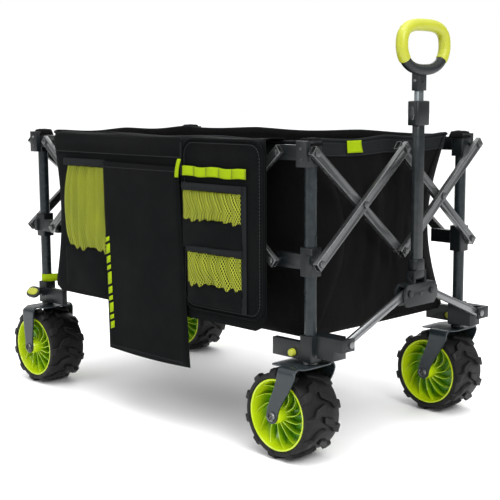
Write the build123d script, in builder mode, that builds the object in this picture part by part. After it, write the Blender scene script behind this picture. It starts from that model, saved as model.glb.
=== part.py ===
"""Folding camp wagon: a scissor frame on four wheels with a sewn tub, a side organiser and a pull handle.

+X is the handle end, -Y the side that carries the organiser, and the floor is z = 0.
Sizes are in millimetres.
"""

import os
from math import copysign, hypot

from build123d import *

# ---------------------------------------------------------------- driving dimensions

# corner posts
POST_X = 467.0  # half the distance between the front and rear posts
POST_Y = 252.0  # half the distance between the left and right posts
POST_DIAMETER = 25.0
POST_WALL = 1.5
FRAME_TOP = 651.0  # top of the top brackets
POST_SEAT_TOP = 3.0  # plastic above the post in its top bracket

# scissor linkage: the pins stand equally far apart along the sides and across the ends, so every
# bar has the same length and one fold angle drives them all
SIDE_SCISSORS = 3
END_SCISSORS = 2
PIN_PITCH = 264.0  # distance between neighbouring pins across an end when the wagon is open
SIDE_ARM = 71.0  # from a post's axis to the nearest pin of its side
PIN_TOP = 627.0
PIN_LOW = 411.0
BAR_FACE = 20.0
BAR_DEPTH = 12.0
BAR_WALL = 1.2
BAR_CORNER = 1.5
BAR_OVERHANG = 11.0  # bar beyond its end pins
LAYER_GAP = 1.0  # between a bracket face and the first bar, and between two bars
RIVET = 8.0
RIVET_HOLE = 8.4
RIVET_HEAD = 14.0
HEAD_HEIGHT = 2.5
RUNNING_GAP = 0.3
SEAT_GAP = 0.1  # between a fastener or sleeve and what it is fixed to
PIN_SOCKET = 5.0  # depth of the blind hole for a bracket or slider pin

# plastic brackets
BRACKET_HALF = 16.0  # half the width of a bracket's body
TOP_BRACKET_BOTTOM = 600.0
BOTTOM_BRACKET_HEIGHT = 53.0
POST_FOOT_RISE = 33.0  # where the post stands, up from the bottom bracket's underside
SLIDER_HALF_HEIGHT = 29.0
SLIDER_GAP = 0.5  # between slider and post, all round
ARM_THICKNESS = 14.0
ARM_HALF_HEIGHT = 15.0
EAR_THICKNESS = 10.0
OUTER_BOSS = 12.0  # how far the boss on the outer face stands out
OUTER_BOSS_HALF = 14.0
BORE_GAP = 0.1  # between the post and the brackets fixed to it
EDGE_ROUND = 4.0
FOOT_ARM_BOTTOM = 3.0  # arm of a bottom bracket, up from the bracket's underside
FOOT_ARM_TOP = 14.0  # and down from its top
STAY_ARM_BOTTOM = 8.0  # arm to the stay tube, up from the bracket's underside
STAY_ARM_REACH = 0.6  # end of that arm past the tube's pin, as a share of the tube's diameter

# wheels and forks
WHEEL_RADIUS = 95.0
WHEEL_WIDTH = 100.0
TYRE_DEPTH = 20.0
TYRE_SHOULDER = 12.0
RIM_WALL = 3.0
RIM_WIDTH = 84.0
RIM_GAP = 0.1  # between the rim and the tyre on it
SPOKES = 12
SPOKE_WIDTH = 6.0
WEB_THICKNESS = 14.0
HUB_DIAMETER = 34.0
AXLE = 10.0
AXLE_HOLE = 10.6
AXLE_HEAD = 18.0
AXLE_HEAD_HEIGHT = 5.0
LEG_INSIDE = 59.0  # fork leg's inner face, from the middle of the wheel
LEG_THICKNESS = 3.0
LEG_FOOT = 14.0  # radius of the leg round the axle
CROWN_HALF = 48.0
CROWN_CORNER = 12.0
CROWN_THICKNESS = 5.0
CROWN_CLEARANCE = 8.0  # between the tyre and the fork crown
CASTER_TRAIL = 50.0
STEM = 14.0
STEM_HOLE = 14.6
STEM_HEIGHT = 30.0
RACE = 24.0
RACE_HEIGHT = 6.0  # between the fork crown and the bottom bracket

# front stay: two tubes that rise from the bottom brackets to the handle hub
STAY_REACH = 70.0  # ahead of the front posts
STAY_INSET = 28.0  # foot of a stay tube, inward from its post
STAY_FOOT_RISE = 41.0  # and up from the bottom bracket's underside
STAY_HEAD_Y = 36.5
STAY_HEAD_Z = 328.0
STAY_TUBE = 17.0
STAY_WALL = 1.5
STAY_END_SHARE = 0.75  # room that a tube's square end needs round its pin, as a share of its diameter
CHEEK = 5.0
CHEEK_GAP = 0.5
HUB_HALF_WIDTH = 57.0
HUB_BOTTOM = 300.0
HUB_TOP = 347.0
HUB_CHAMFER = 12.0
HUB_WEB = 8.0

# pull handle
HANDLE_PIVOT_Z = 362.0
NECK_WIDTH = 30.0
NECK_DEPTH = 22.0
NECK_SEAT = 380.0  # where the tube stands on the neck
OUTER_TUBE_WIDTH = 26.0
OUTER_TUBE_DEPTH = 16.0
HANDLE_WALL = 1.5
INNER_GAP = 0.5
OUTER_TUBE_TOP = 720.0
HANDLE_CORNER = 3.0
COLLAR_BOTTOM = 676.0
COLLAR_TOP = 726.0
COLLAR_WIDTH = 44.0
COLLAR_DEPTH = 25.0
INNER_TUBE_BOTTOM = 405.0
FERRULE_BOTTOM = 747.0
FERRULE_WIDTH = 28.0
FERRULE_DEPTH = 20.0
GRIP_TOP = 892.0
GRIP_BOTTOM = 777.0
GRIP_WIDTH = 168.0
GRIP_SECTION = 25.0
GRIP_FORWARD = 10.0  # the ring stands this far ahead of the tubes
GRIP_ROUND = 0.42  # corner radius as a share of the height
GRIP_EDGE = 9.0

# locks
LOCK_BACK = 33.0  # behind the front posts
LOCK_RISE = 15.0  # up from the bottom bracket's underside
LOCK_DIAMETER = 16.0
LOCK_TRAVEL = 4.0
LOCK_GAP = 0.3
PEDAL_LENGTH = 50.0
PEDAL_DEPTH = 30.0
PEDAL_THICKNESS = 7.0
PEDAL_RISE = 27.0  # hinge, up from the bottom bracket's underside
PEDAL_EAR = 4.0
PEDAL_EAR_HALF_HEIGHT = 8.0
PEDAL_HINGE = 6.0  # hinge pin from the outer face of the bracket
PEDAL_PIN = 4.0
PEDAL_PIN_HOLE = 4.4
PEDAL_BARREL = 9.0
PEDAL_STALK = 12.0

# sewn tub, floor pad and organiser
TUB_INSET_X = 21.0  # end walls, inward from the posts
TUB_INSET_Y = 17.0  # side walls, inward from the posts
TUB_BOTTOM = 246.0
CLOTH = 3.0
CAP_MARGIN = 18.0
PAD_THICKNESS = 8.0
PAD_GAP = 0.5
ORGANISER_REAR_INSET = 117.0  # rear edge, inward from the rear posts
ORGANISER_FRONT_INSET = 75.0  # front edge, inward from the front posts
ORGANISER_BOTTOM = 262.0
ORGANISER_CLEARANCE = 5.0  # between the outer bars' rivets and the organiser's back
FLAP_REAR = -134.0
FLAP_FRONT = 146.0
FLAP_TOP = 585.0
FLAP_BOTTOM = 150.0
POCKET_DEPTH = 8.0
# pockets: distance from the organiser's edge, distance from the flap, bottom, top
REAR_POCKET = (60.0, 5.0, 374.0, 577.0)
FRONT_POCKETS = ((62.0, 4.0, 410.0, 541.0), (61.0, 16.0, 292.0, 405.0))

# ---------------------------------------------------------------- derived sizes

END_PIN_Y = END_SCISSORS * PIN_PITCH / 2
END_PIN_X = POST_X - SIDE_ARM
SIDE_PITCH = 2 * END_PIN_X / SIDE_SCISSORS
EAR_END = END_PIN_Y + copysign(BAR_FACE / 2, END_PIN_Y - POST_Y)  # just past the pin, seen from the post
LAYER_1 = BRACKET_HALF + LAYER_GAP + BAR_DEPTH / 2
LAYER_2 = LAYER_1 + BAR_DEPTH + LAYER_GAP
STACK = LAYER_2 + BAR_DEPTH / 2  # outer face of the outer bars, from the post axis
POST_RADIUS = POST_DIAMETER / 2
POST_TOP = FRAME_TOP - POST_SEAT_TOP
CROWN_BOTTOM = 2 * WHEEL_RADIUS + CROWN_CLEARANCE
CROWN_TOP = CROWN_BOTTOM + CROWN_THICKNESS
LEG_OUTSIDE = LEG_INSIDE + LEG_THICKNESS
RIM_SEAT = WHEEL_RADIUS - TYRE_DEPTH
BAR_MOUTH = BAR_DEPTH / 2 + RUNNING_GAP
BOTTOM_BRACKET_BOTTOM = CROWN_TOP + RACE_HEIGHT
BOTTOM_BRACKET_TOP = BOTTOM_BRACKET_BOTTOM + BOTTOM_BRACKET_HEIGHT
POST_FOOT = BOTTOM_BRACKET_BOTTOM + POST_FOOT_RISE
STAY_END = STAY_TUBE * STAY_END_SHARE
STAY_X = POST_X + STAY_REACH
STAY_FOOT_Y = POST_Y - STAY_INSET
STAY_FOOT_Z = BOTTOM_BRACKET_BOTTOM + STAY_FOOT_RISE
LOCK_X = POST_X - LOCK_BACK
LOCK_Z = BOTTOM_BRACKET_BOTTOM + LOCK_RISE
PEDAL_Z = BOTTOM_BRACKET_BOTTOM + PEDAL_RISE
TUB_X = POST_X - TUB_INSET_X
TUB_Y = POST_Y - TUB_INSET_Y
ORGANISER_REAR = ORGANISER_REAR_INSET - POST_X
ORGANISER_FRONT = POST_X - ORGANISER_FRONT_INSET

CORNERS = {
    "front_left": (1, -1),
    "front_right": (1, 1),
    "rear_left": (-1, -1),
    "rear_right": (-1, 1),
}
LETTERS = "abcdef"  # bars of one face
OUTPUT = "parts"
os.makedirs(OUTPUT, exist_ok=True)


def save(builder, name):
    """Label the finished sub-part and write it to its own file."""
    builder.part.label = name
    export_step(builder.part, f"{OUTPUT}/{name}.step")


def block(x, y, z, mode=Mode.ADD):
    """A box given by its two ends along each axis, in either order."""
    ends = [sorted(pair) for pair in (x, y, z)]
    with Locations(tuple((low + high) / 2 for low, high in ends)):
        Box(*(high - low for low, high in ends), mode=mode)


def pin(start, axis, length, diameter, mode=Mode.ADD):
    """A round bar that starts at a point and runs along an axis."""
    with Locations(Plane(origin=start, z_dir=axis)):
        Cylinder(diameter / 2, length, align=(Align.CENTER, Align.CENTER, Align.MIN), mode=mode)


# ---------------------------------------------------------------- corner posts

def add_post(x, y):
    """Round steel tube of one corner."""
    with BuildSketch(Plane.XY.offset(POST_FOOT)) as ring:
        with Locations((x, y)):
            Circle(POST_RADIUS)
            Circle(POST_RADIUS - POST_WALL, mode=Mode.SUBTRACT)
    extrude(ring.sketch, amount=POST_TOP - POST_FOOT)


def make_front_post(name, sx, sy):
    """Front post, on its own: its fork swivels."""
    with BuildPart() as post:
        add_post(sx * POST_X, sy * POST_Y)
    save(post, f"post_{name}")


def body_and_ears(sx, sy, low, high, pin_height):
    """Body round a post, with the arm that holds the side pin and the ear that holds the end pin."""
    x, y = sx * POST_X, sy * POST_Y
    with BuildSketch(Plane.XY.offset(low)) as outline:
        with Locations((x, y)):
            RectangleRounded(2 * BRACKET_HALF, 2 * BRACKET_HALF, EDGE_ROUND)
    extrude(outline.sketch, amount=high - low)
    arm_face = y + sy * BRACKET_HALF
    tip = sx * (END_PIN_X - BAR_FACE / 2)
    span = (pin_height - ARM_HALF_HEIGHT, pin_height + ARM_HALF_HEIGHT)
    block((x - sx * POST_RADIUS, tip), (arm_face, arm_face - sy * ARM_THICKNESS), span)
    ear_face = x + sx * BRACKET_HALF
    block(
        (ear_face, ear_face - sx * EAR_THICKNESS),
        (y, sy * EAR_END),
        span,
    )


def pin_holes(sx, sy, height):
    """Blind holes for the side pin and the end pin."""
    side = (sx * END_PIN_X, sy * (POST_Y + BRACKET_HALF), height)
    end = (sx * (POST_X + BRACKET_HALF), sy * END_PIN_Y, height)
    pin(side, (0, -sy, 0), PIN_SOCKET, RIVET_HOLE, Mode.SUBTRACT)
    pin(end, (-sx, 0, 0), PIN_SOCKET, RIVET_HOLE, Mode.SUBTRACT)


def make_top_bracket(name, sx, sy):
    """Plastic bracket at the top of a post."""
    x, y = sx * POST_X, sy * POST_Y
    with BuildPart() as bracket:
        body_and_ears(sx, sy, TOP_BRACKET_BOTTOM, FRAME_TOP, PIN_TOP)
        outer = y + sy * BRACKET_HALF
        block(
            (x - OUTER_BOSS_HALF, x + OUTER_BOSS_HALF),
            (y, outer + sy * OUTER_BOSS),
            (TOP_BRACKET_BOTTOM, FRAME_TOP),
        )
        bore = POST_DIAMETER + 2 * BORE_GAP
        pin((x, y, TOP_BRACKET_BOTTOM), (0, 0, 1), POST_TOP - TOP_BRACKET_BOTTOM, bore, Mode.SUBTRACT)
        pin_holes(sx, sy, PIN_TOP)
    save(bracket, f"top_bracket_{name}")


def make_slider(name, sx, sy):
    """Plastic collar that runs up and down a post and carries the lower scissor pins."""
    x, y = sx * POST_X, sy * POST_Y
    low, high = PIN_LOW - SLIDER_HALF_HEIGHT, PIN_LOW + SLIDER_HALF_HEIGHT
    with BuildPart() as slider:
        body_and_ears(sx, sy, low, high, PIN_LOW)
        pin((x, y, low), (0, 0, 1), high - low, POST_DIAMETER + 2 * SLIDER_GAP, Mode.SUBTRACT)
        pin_holes(sx, sy, PIN_LOW)
    save(slider, f"slider_{name}")


def make_bottom_bracket(name, sx, sy):
    """Plastic bracket at the foot of a post: it takes the fork, the stay tube and the lock or pedal."""
    x, y = sx * POST_X, sy * POST_Y
    low, high = BOTTOM_BRACKET_BOTTOM, BOTTOM_BRACKET_TOP
    outer = y + sy * BRACKET_HALF
    with BuildPart() as bracket:
        with BuildSketch(Plane.XY.offset(low)):
            with Locations((x, y)):
                RectangleRounded(2 * BRACKET_HALF, 2 * BRACKET_HALF, EDGE_ROUND)
        extrude(amount=high - low)
        arm = (low + FOOT_ARM_BOTTOM, high - FOOT_ARM_TOP)
        block((x - sx * POST_RADIUS, sx * (END_PIN_X - BAR_FACE)), (outer, outer - sy * ARM_THICKNESS), arm)
        if sx > 0:
            back = STAY_X - STAY_TUBE / 2 - CHEEK_GAP
            front = STAY_X + STAY_TUBE / 2 + CHEEK_GAP
            reach = (sy * (STAY_FOOT_Y - STAY_TUBE * STAY_ARM_REACH), y)
            block((x, back), reach, (low + STAY_ARM_BOTTOM, STAY_FOOT_Z + STAY_END))
            web = (sy * (STAY_FOOT_Y + STAY_END), y)
            plate = (STAY_FOOT_Z - STAY_END, STAY_FOOT_Z + STAY_END)
            block((back, front + CHEEK), web, plate)
            block((front, front + CHEEK), reach, plate)
            foot = (back - STAY_TUBE, sy * STAY_FOOT_Y, STAY_FOOT_Z)
            pin(foot, (1, 0, 0), 3 * STAY_TUBE, RIVET_HOLE, Mode.SUBTRACT)
            lock = (sx * LOCK_X, outer, LOCK_Z)
            pin(lock, (0, -sy, 0), ARM_THICKNESS, LOCK_DIAMETER + 2 * LOCK_GAP, Mode.SUBTRACT)
            pin((x, y, low), (0, 0, 1), STEM_HEIGHT + RUNNING_GAP, STEM_HOLE, Mode.SUBTRACT)
        else:
            half = PEDAL_LENGTH / 4 + RUNNING_GAP
            for side in (-1, 1):
                ear = (x + side * half, x + side * (half + PEDAL_EAR))
                heights = (PEDAL_Z - PEDAL_EAR_HALF_HEIGHT, PEDAL_Z + PEDAL_EAR_HALF_HEIGHT)
                block(ear, (y, outer + sy * 2 * PEDAL_HINGE), heights)
            hinge = (x - PEDAL_LENGTH, outer + sy * PEDAL_HINGE, PEDAL_Z)
            pin(hinge, (1, 0, 0), 2 * PEDAL_LENGTH, PEDAL_PIN_HOLE, Mode.SUBTRACT)
        bore = POST_DIAMETER + 2 * BORE_GAP
        pin((x, y, POST_FOOT), (0, 0, 1), high, bore, Mode.SUBTRACT)
    save(bracket, f"bottom_bracket_{name}")


# ---------------------------------------------------------------- scissor bars

def make_bar(name, start, end, normal, layer, own_pins):
    """A rectangular tube between two pins, with the rivets it carries.

    start and end are the pins on the mid plane of the frame's face, normal points outward, and
    layer is how far outward the bar lies. own_pins holds one tuple for each rivet: its share of
    the bar's length and the two distances from the face between which its shank runs, with a
    head wherever the last two flags ask for one.
    """
    a, b, out = Vector(*start), Vector(*end), Vector(*normal)
    along, bar_length = (b - a).normalized(), (b - a).length
    centre = a + out * layer
    with BuildPart() as bar:
        across = Plane(origin=centre - along * BAR_OVERHANG, x_dir=out, z_dir=along)
        with BuildSketch(across):
            RectangleRounded(BAR_DEPTH, BAR_FACE, BAR_CORNER)
            RectangleRounded(BAR_DEPTH - 2 * BAR_WALL, BAR_FACE - 2 * BAR_WALL, BAR_CORNER / 2, mode=Mode.SUBTRACT)
        extrude(amount=bar_length + 2 * BAR_OVERHANG)
        for share in (0, 0.5, 1):
            hole = centre + along * (bar_length * share) - out * BAR_DEPTH
            pin(hole, out, 2 * BAR_DEPTH, RIVET_HOLE, Mode.SUBTRACT)
        for share, low, high, low_head, high_head in own_pins:
            foot = a + along * (bar_length * share)
            pin(foot + out * low, out, high - low, RIVET)
            if low_head:
                pin(foot + out * low, out * -1, HEAD_HEIGHT, RIVET_HEAD)
            if high_head:
                pin(foot + out * high, out, HEAD_HEIGHT, RIVET_HEAD)
    save(bar, name)


def bar_rivets(shared_start, shared_end, inner):
    """Rivets a bar carries: those through two bars belong to the inner bar of the pair."""
    near = LAYER_1 - BAR_MOUTH
    far = LAYER_2 + BAR_MOUTH
    socket = BRACKET_HALF - PIN_SOCKET + RUNNING_GAP
    rivets = []
    for share, shared in ((0, shared_start), (0.5, True), (1, shared_end)):
        if shared and inner:
            rivets.append((share, near, far, True, True))
        elif not shared:
            top = (LAYER_1 if inner else LAYER_2) + BAR_MOUTH
            rivets.append((share, socket, top, False, True))
    return rivets


def make_scissors(side, count, face_point, normal):
    """One face's scissors, lettered in order from its first post.

    face_point(t, z) is the point at t pitches from the first pins, on the post line.
    """
    for i in range(count):
        first, last = i == 0, i == count - 1
        falling = (face_point(i, PIN_TOP), face_point(i + 1, PIN_LOW))
        rising = (face_point(i, PIN_LOW), face_point(i + 1, PIN_TOP))
        inner, outer = LETTERS[2 * i : 2 * i + 2]
        make_bar(f"{side}_bar_{inner}", *falling, normal, LAYER_1, bar_rivets(not first, not last, True))
        make_bar(f"{side}_bar_{outer}", *rising, normal, LAYER_2, bar_rivets(not first, not last, False))


# ---------------------------------------------------------------- wheels

def make_tyre(name, x, y):
    """Rubber ring with rounded shoulders."""
    with BuildPart() as tyre:
        with BuildSketch(Plane.XY):
            with Locations((0, (WHEEL_RADIUS + RIM_SEAT) / 2)):
                Rectangle(WHEEL_WIDTH, TYRE_DEPTH)
            fillet(vertices().group_by(Axis.Y)[-1], TYRE_SHOULDER)
        revolve(axis=Axis.X)
    tyre.part = tyre.part.moved(Location((x, y, WHEEL_RADIUS), (0, 0, 90)))
    save(tyre, f"tyre_{name}")


def make_rim(name, x, y):
    """Moulded rim: barrel, hub and spokes."""
    with BuildPart() as rim:
        with BuildSketch(Plane.XZ):
            Circle(RIM_SEAT - RIM_GAP)
            Circle(RIM_SEAT - RIM_GAP - RIM_WALL, mode=Mode.SUBTRACT)
        extrude(amount=RIM_WIDTH / 2, both=True)
        with BuildSketch(Plane.XZ):
            Circle(HUB_DIAMETER / 2)
        extrude(amount=LEG_INSIDE - RUNNING_GAP, both=True)
        with BuildSketch(Plane.XZ):
            reach = RIM_SEAT - RIM_WALL
            with PolarLocations(reach / 2, SPOKES):
                Rectangle(reach, SPOKE_WIDTH)
            Circle(RIM_SEAT / 3 + SPOKE_WIDTH)
        extrude(amount=WEB_THICKNESS / 2, both=True)
        with BuildSketch(Plane.XZ):
            Circle(AXLE_HOLE / 2)
        extrude(amount=WHEEL_WIDTH, both=True, mode=Mode.SUBTRACT)
    rim.part = rim.part.moved(Location((x, y, WHEEL_RADIUS)))
    save(rim, f"rim_{name}")


def add_fork(x, y, trail):
    """Pressed steel fork whose crown lies under a post, with its axle bolt trail behind the post."""
    hub = x - trail
    middle = x - trail / 2
    with BuildSketch(Plane.XY.offset(CROWN_BOTTOM)) as crown:
        with Locations((middle, y)):
            RectangleRounded(2 * CROWN_HALF, 2 * LEG_OUTSIDE, CROWN_CORNER)
    extrude(crown.sketch, amount=CROWN_THICKNESS)
    for side in (-1, 1):
        face = Plane(origin=(0, y + side * LEG_INSIDE, 0), x_dir=(1, 0, 0), z_dir=(0, -1, 0))
        with BuildSketch(face) as leg:
            with BuildLine():
                Polyline(
                    (middle - CROWN_HALF + CROWN_CORNER, CROWN_BOTTOM + 1),
                    (middle + CROWN_HALF - CROWN_CORNER, CROWN_BOTTOM + 1),
                    (middle + CROWN_HALF - 2 * CROWN_CORNER, CROWN_BOTTOM - 2 * CROWN_CORNER),
                    (hub + LEG_FOOT, WHEEL_RADIUS),
                    (hub - LEG_FOOT, WHEEL_RADIUS),
                    close=True,
                )
            make_face()
            with Locations((hub, WHEEL_RADIUS)):
                Circle(LEG_FOOT)
                Circle(AXLE_HOLE / 2, mode=Mode.SUBTRACT)
        extrude(leg.sketch, amount=-side * LEG_THICKNESS)
    pin((hub, y - LEG_OUTSIDE, WHEEL_RADIUS), (0, 1, 0), 2 * LEG_OUTSIDE, AXLE)
    for side in (-1, 1):
        head = (hub, y + side * (LEG_OUTSIDE + SEAT_GAP), WHEEL_RADIUS)
        pin(head, (0, side, 0), AXLE_HEAD_HEIGHT, AXLE_HEAD)
        pin(head, (0, -side, 0), AXLE, AXLE)


def make_caster_fork(name, sx, sy):
    """Swivelling fork of a front wheel, on a stem in the bottom bracket."""
    x, y = sx * POST_X, sy * POST_Y
    with BuildPart() as fork:
        add_fork(x, y, CASTER_TRAIL)
        pin((x, y, CROWN_TOP), (0, 0, 1), BOTTOM_BRACKET_BOTTOM - RUNNING_GAP - CROWN_TOP, RACE)
        pin((x, y, CROWN_TOP), (0, 0, 1), BOTTOM_BRACKET_BOTTOM - CROWN_TOP + STEM_HEIGHT, STEM)
    save(fork, f"caster_fork_{name}")


def make_rear_post(name, sx, sy):
    """Rear post, with the fixed fork that stands under its bottom bracket."""
    x, y = sx * POST_X, sy * POST_Y
    with BuildPart() as post:
        add_post(x, y)
        add_fork(x, y, 0)
        pin((x, y, CROWN_TOP), (0, 0, 1), BOTTOM_BRACKET_BOTTOM - CROWN_TOP, RACE)
    save(post, f"post_{name}")


# ---------------------------------------------------------------- locks

def make_caster_lock(name, sx, sy):
    """Push button in the arm of a front bottom bracket."""
    outer = sy * (POST_Y + BRACKET_HALF)
    with BuildPart() as lock:
        start = (sx * LOCK_X, outer - sy * (ARM_THICKNESS - LOCK_TRAVEL - 1), LOCK_Z)
        pin(start, (0, sy, 0), ARM_THICKNESS + LOCK_TRAVEL, LOCK_DIAMETER)
    save(lock, f"caster_lock_{name}")


def make_brake_pedal(name, sx, sy):
    """Oval foot pedal hinged on the outer face of a rear bottom bracket."""
    x = sx * POST_X
    hinge_y = sy * (POST_Y + BRACKET_HALF + PEDAL_HINGE)
    with BuildPart() as pedal:
        pin((x - PEDAL_LENGTH / 4, hinge_y, PEDAL_Z), (1, 0, 0), PEDAL_LENGTH / 2, PEDAL_BARREL)
        block(
            (x - PEDAL_LENGTH / 4, x + PEDAL_LENGTH / 4),
            (hinge_y, hinge_y + sy * PEDAL_STALK),
            (PEDAL_Z - PEDAL_THICKNESS / 2, PEDAL_Z + PEDAL_THICKNESS / 2),
        )
        with BuildSketch(Plane.XY.offset(PEDAL_Z - PEDAL_THICKNESS / 2)):
            with Locations((x, hinge_y + sy * (PEDAL_BARREL + PEDAL_DEPTH / 2))):
                Ellipse(PEDAL_LENGTH / 2, PEDAL_DEPTH / 2)
        extrude(amount=PEDAL_THICKNESS)
        pin((x - PEDAL_LENGTH, hinge_y, PEDAL_Z), (1, 0, 0), 2 * PEDAL_LENGTH, PEDAL_PIN_HOLE, Mode.SUBTRACT)
        span = PEDAL_LENGTH / 2 + 2 * PEDAL_EAR
        pin((x - span / 2, hinge_y, PEDAL_Z), (1, 0, 0), span, PEDAL_PIN)
    save(pedal, f"brake_pedal_{name}")


# ---------------------------------------------------------------- build the frame

for corner, (sx, sy) in CORNERS.items():
    make_top_bracket(corner, sx, sy)
    make_slider(corner, sx, sy)
    make_bottom_bracket(corner, sx, sy)
    wheel_x = sx * POST_X - (CASTER_TRAIL if sx > 0 else 0)
    make_tyre(corner, wheel_x, sy * POST_Y)
    make_rim(corner, wheel_x, sy * POST_Y)
    if sx > 0:
        make_front_post(corner, sx, sy)
        make_caster_fork(corner, sx, sy)
        make_caster_lock(corner, sx, sy)
    else:
        make_rear_post(corner, sx, sy)
        make_brake_pedal(corner, sx, sy)

for side, sx in (("front", 1), ("rear", -1)):
    make_scissors(
        side, END_SCISSORS, lambda t, z, sx=sx: (sx * POST_X, t * PIN_PITCH - END_PIN_Y, z), (sx, 0, 0)
    )
for side, sy in (("left", -1), ("right", 1)):
    make_scissors(
        side, SIDE_SCISSORS, lambda t, z, sy=sy: (END_PIN_X - t * SIDE_PITCH, sy * POST_Y, z), (0, sy, 0)
    )

# ---------------------------------------------------------------- front stay and hub

STAY_SPAN = hypot(STAY_FOOT_Y - STAY_HEAD_Y, STAY_HEAD_Z - STAY_FOOT_Z)

for side, sy in (("left", -1), ("right", 1)):
    foot = Vector(STAY_X, sy * STAY_FOOT_Y, STAY_FOOT_Z)
    head = Vector(STAY_X, sy * STAY_HEAD_Y, STAY_HEAD_Z)
    along = (head - foot).normalized()
    with BuildPart() as stay:
        with BuildSketch(Plane(origin=foot - along * STAY_TUBE / 2, z_dir=along)):
            Circle(STAY_TUBE / 2)
            Circle(STAY_TUBE / 2 - STAY_WALL, mode=Mode.SUBTRACT)
        extrude(amount=STAY_SPAN + STAY_TUBE)
        for point in (foot, head):
            start = point - Vector(STAY_TUBE, 0, 0)
            pin(start, (1, 0, 0), 2 * STAY_TUBE, RIVET_HOLE, Mode.SUBTRACT)
        shank = STAY_TUBE + 2 * CHEEK_GAP + 2 * CHEEK
        rear_face = STAY_X - shank / 2
        pin((rear_face, foot.Y, foot.Z), (1, 0, 0), shank, RIVET)
        pin((rear_face + shank, foot.Y, foot.Z), (1, 0, 0), SEAT_GAP + HEAD_HEIGHT, RIVET)
        pin((rear_face + shank + SEAT_GAP, foot.Y, foot.Z), (1, 0, 0), HEAD_HEIGHT, RIVET_HEAD)
    save(stay, f"stay_{side}")

with BuildPart() as hub:
    half_depth = STAY_TUBE / 2 + CHEEK_GAP
    for side in (-1, 1):
        face = Plane(origin=(STAY_X + side * half_depth, 0, 0), x_dir=(0, 1, 0), z_dir=(1, 0, 0))
        with BuildSketch(face):
            with Locations((0, (HUB_BOTTOM + HUB_TOP) / 2)):
                outline = Rectangle(2 * HUB_HALF_WIDTH, HUB_TOP - HUB_BOTTOM)
            chamfer(outline.vertices(), HUB_CHAMFER)
        extrude(amount=side * CHEEK)
    depth = (STAY_X - half_depth, STAY_X + half_depth)
    roof = STAY_HEAD_Z + STAY_END
    block(depth, (-HUB_HALF_WIDTH + HUB_CHAMFER, HUB_HALF_WIDTH - HUB_CHAMFER), (roof, HUB_TOP))
    block(depth, (-HUB_WEB / 2, HUB_WEB / 2), (HUB_BOTTOM, HUB_TOP))
    inner = NECK_WIDTH / 2 + RUNNING_GAP
    for side in (-1, 1):
        block(
            (STAY_X - NECK_DEPTH / 2, STAY_X + NECK_DEPTH / 2),
            (side * inner, side * (inner + CHEEK)),
            (HUB_TOP, HANDLE_PIVOT_Z + NECK_DEPTH / 2),
        )
    shank = 2 * (half_depth + CHEEK)
    bolt = (STAY_X - shank / 2, -STAY_HEAD_Y, STAY_HEAD_Z)
    pin(bolt, (1, 0, 0), shank, RIVET_HOLE, Mode.SUBTRACT)
    pin((STAY_X, -HUB_HALF_WIDTH, HANDLE_PIVOT_Z), (0, 1, 0), 2 * HUB_HALF_WIDTH, RIVET_HOLE, Mode.SUBTRACT)
    # bolt through the left stay tube, and the screw heads on both cheeks
    face_x = STAY_X + shank / 2 + SEAT_GAP
    pin(bolt, (1, 0, 0), shank + 2 * SEAT_GAP, RIVET)
    for side in (-1, 1):
        pin((face_x, side * STAY_HEAD_Y, STAY_HEAD_Z), (1, 0, 0), HEAD_HEIGHT, RIVET_HEAD)
    # handle pivot pin
    width = 2 * (inner + CHEEK)
    pin((STAY_X, -width / 2, HANDLE_PIVOT_Z), (0, 1, 0), width, RIVET)
save(hub, "handle_hub")

# ---------------------------------------------------------------- pull handle


def sleeve(low, high, depth, width, hole_depth, hole_width):
    """Rectangular tube round the handle's axis, given by its outside and the hole through it."""
    with BuildSketch(Plane.XY.offset(low)) as section:
        with Locations((STAY_X, 0)):
            RectangleRounded(depth, width, HANDLE_CORNER)
            RectangleRounded(hole_depth, hole_width, HANDLE_CORNER - 1, mode=Mode.SUBTRACT)
    extrude(section.sketch, amount=high - low)


def make_neck():
    """Solid foot of the handle, round its pivot pin and up into the tube."""
    with BuildSketch(Plane(origin=(0, 0, 0), x_dir=(1, 0, 0), z_dir=(0, -1, 0))) as foot:
        with Locations((STAY_X, HANDLE_PIVOT_Z)):
            Circle(NECK_DEPTH / 2)
        with Locations((STAY_X, (HANDLE_PIVOT_Z + NECK_SEAT) / 2)):
            Rectangle(NECK_DEPTH, NECK_SEAT - HANDLE_PIVOT_Z)
    extrude(foot.sketch, amount=NECK_WIDTH / 2, both=True)
    start = (STAY_X, -NECK_WIDTH, HANDLE_PIVOT_Z)
    pin(start, (0, 1, 0), 2 * NECK_WIDTH, RIVET_HOLE, Mode.SUBTRACT)


BORE_DEPTH = OUTER_TUBE_DEPTH - 2 * HANDLE_WALL
BORE_WIDTH = OUTER_TUBE_WIDTH - 2 * HANDLE_WALL
INNER_DEPTH = BORE_DEPTH - 2 * INNER_GAP
INNER_WIDTH = BORE_WIDTH - 2 * INNER_GAP

with BuildPart() as outer_tube:
    sleeve(NECK_SEAT + SEAT_GAP, OUTER_TUBE_TOP, OUTER_TUBE_DEPTH, OUTER_TUBE_WIDTH, BORE_DEPTH, BORE_WIDTH)
    make_neck()
    # collar: its upper lip stands over the end of the outer tube and guides the inner one
    lip = OUTER_TUBE_TOP + SEAT_GAP
    fit = 2 * SEAT_GAP
    sleeve(COLLAR_BOTTOM, lip, COLLAR_DEPTH, COLLAR_WIDTH, OUTER_TUBE_DEPTH + fit, OUTER_TUBE_WIDTH + fit)
    sleeve(lip, COLLAR_TOP, COLLAR_DEPTH, COLLAR_WIDTH, BORE_DEPTH, BORE_WIDTH)
save(outer_tube, "handle_outer_tube")

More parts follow.
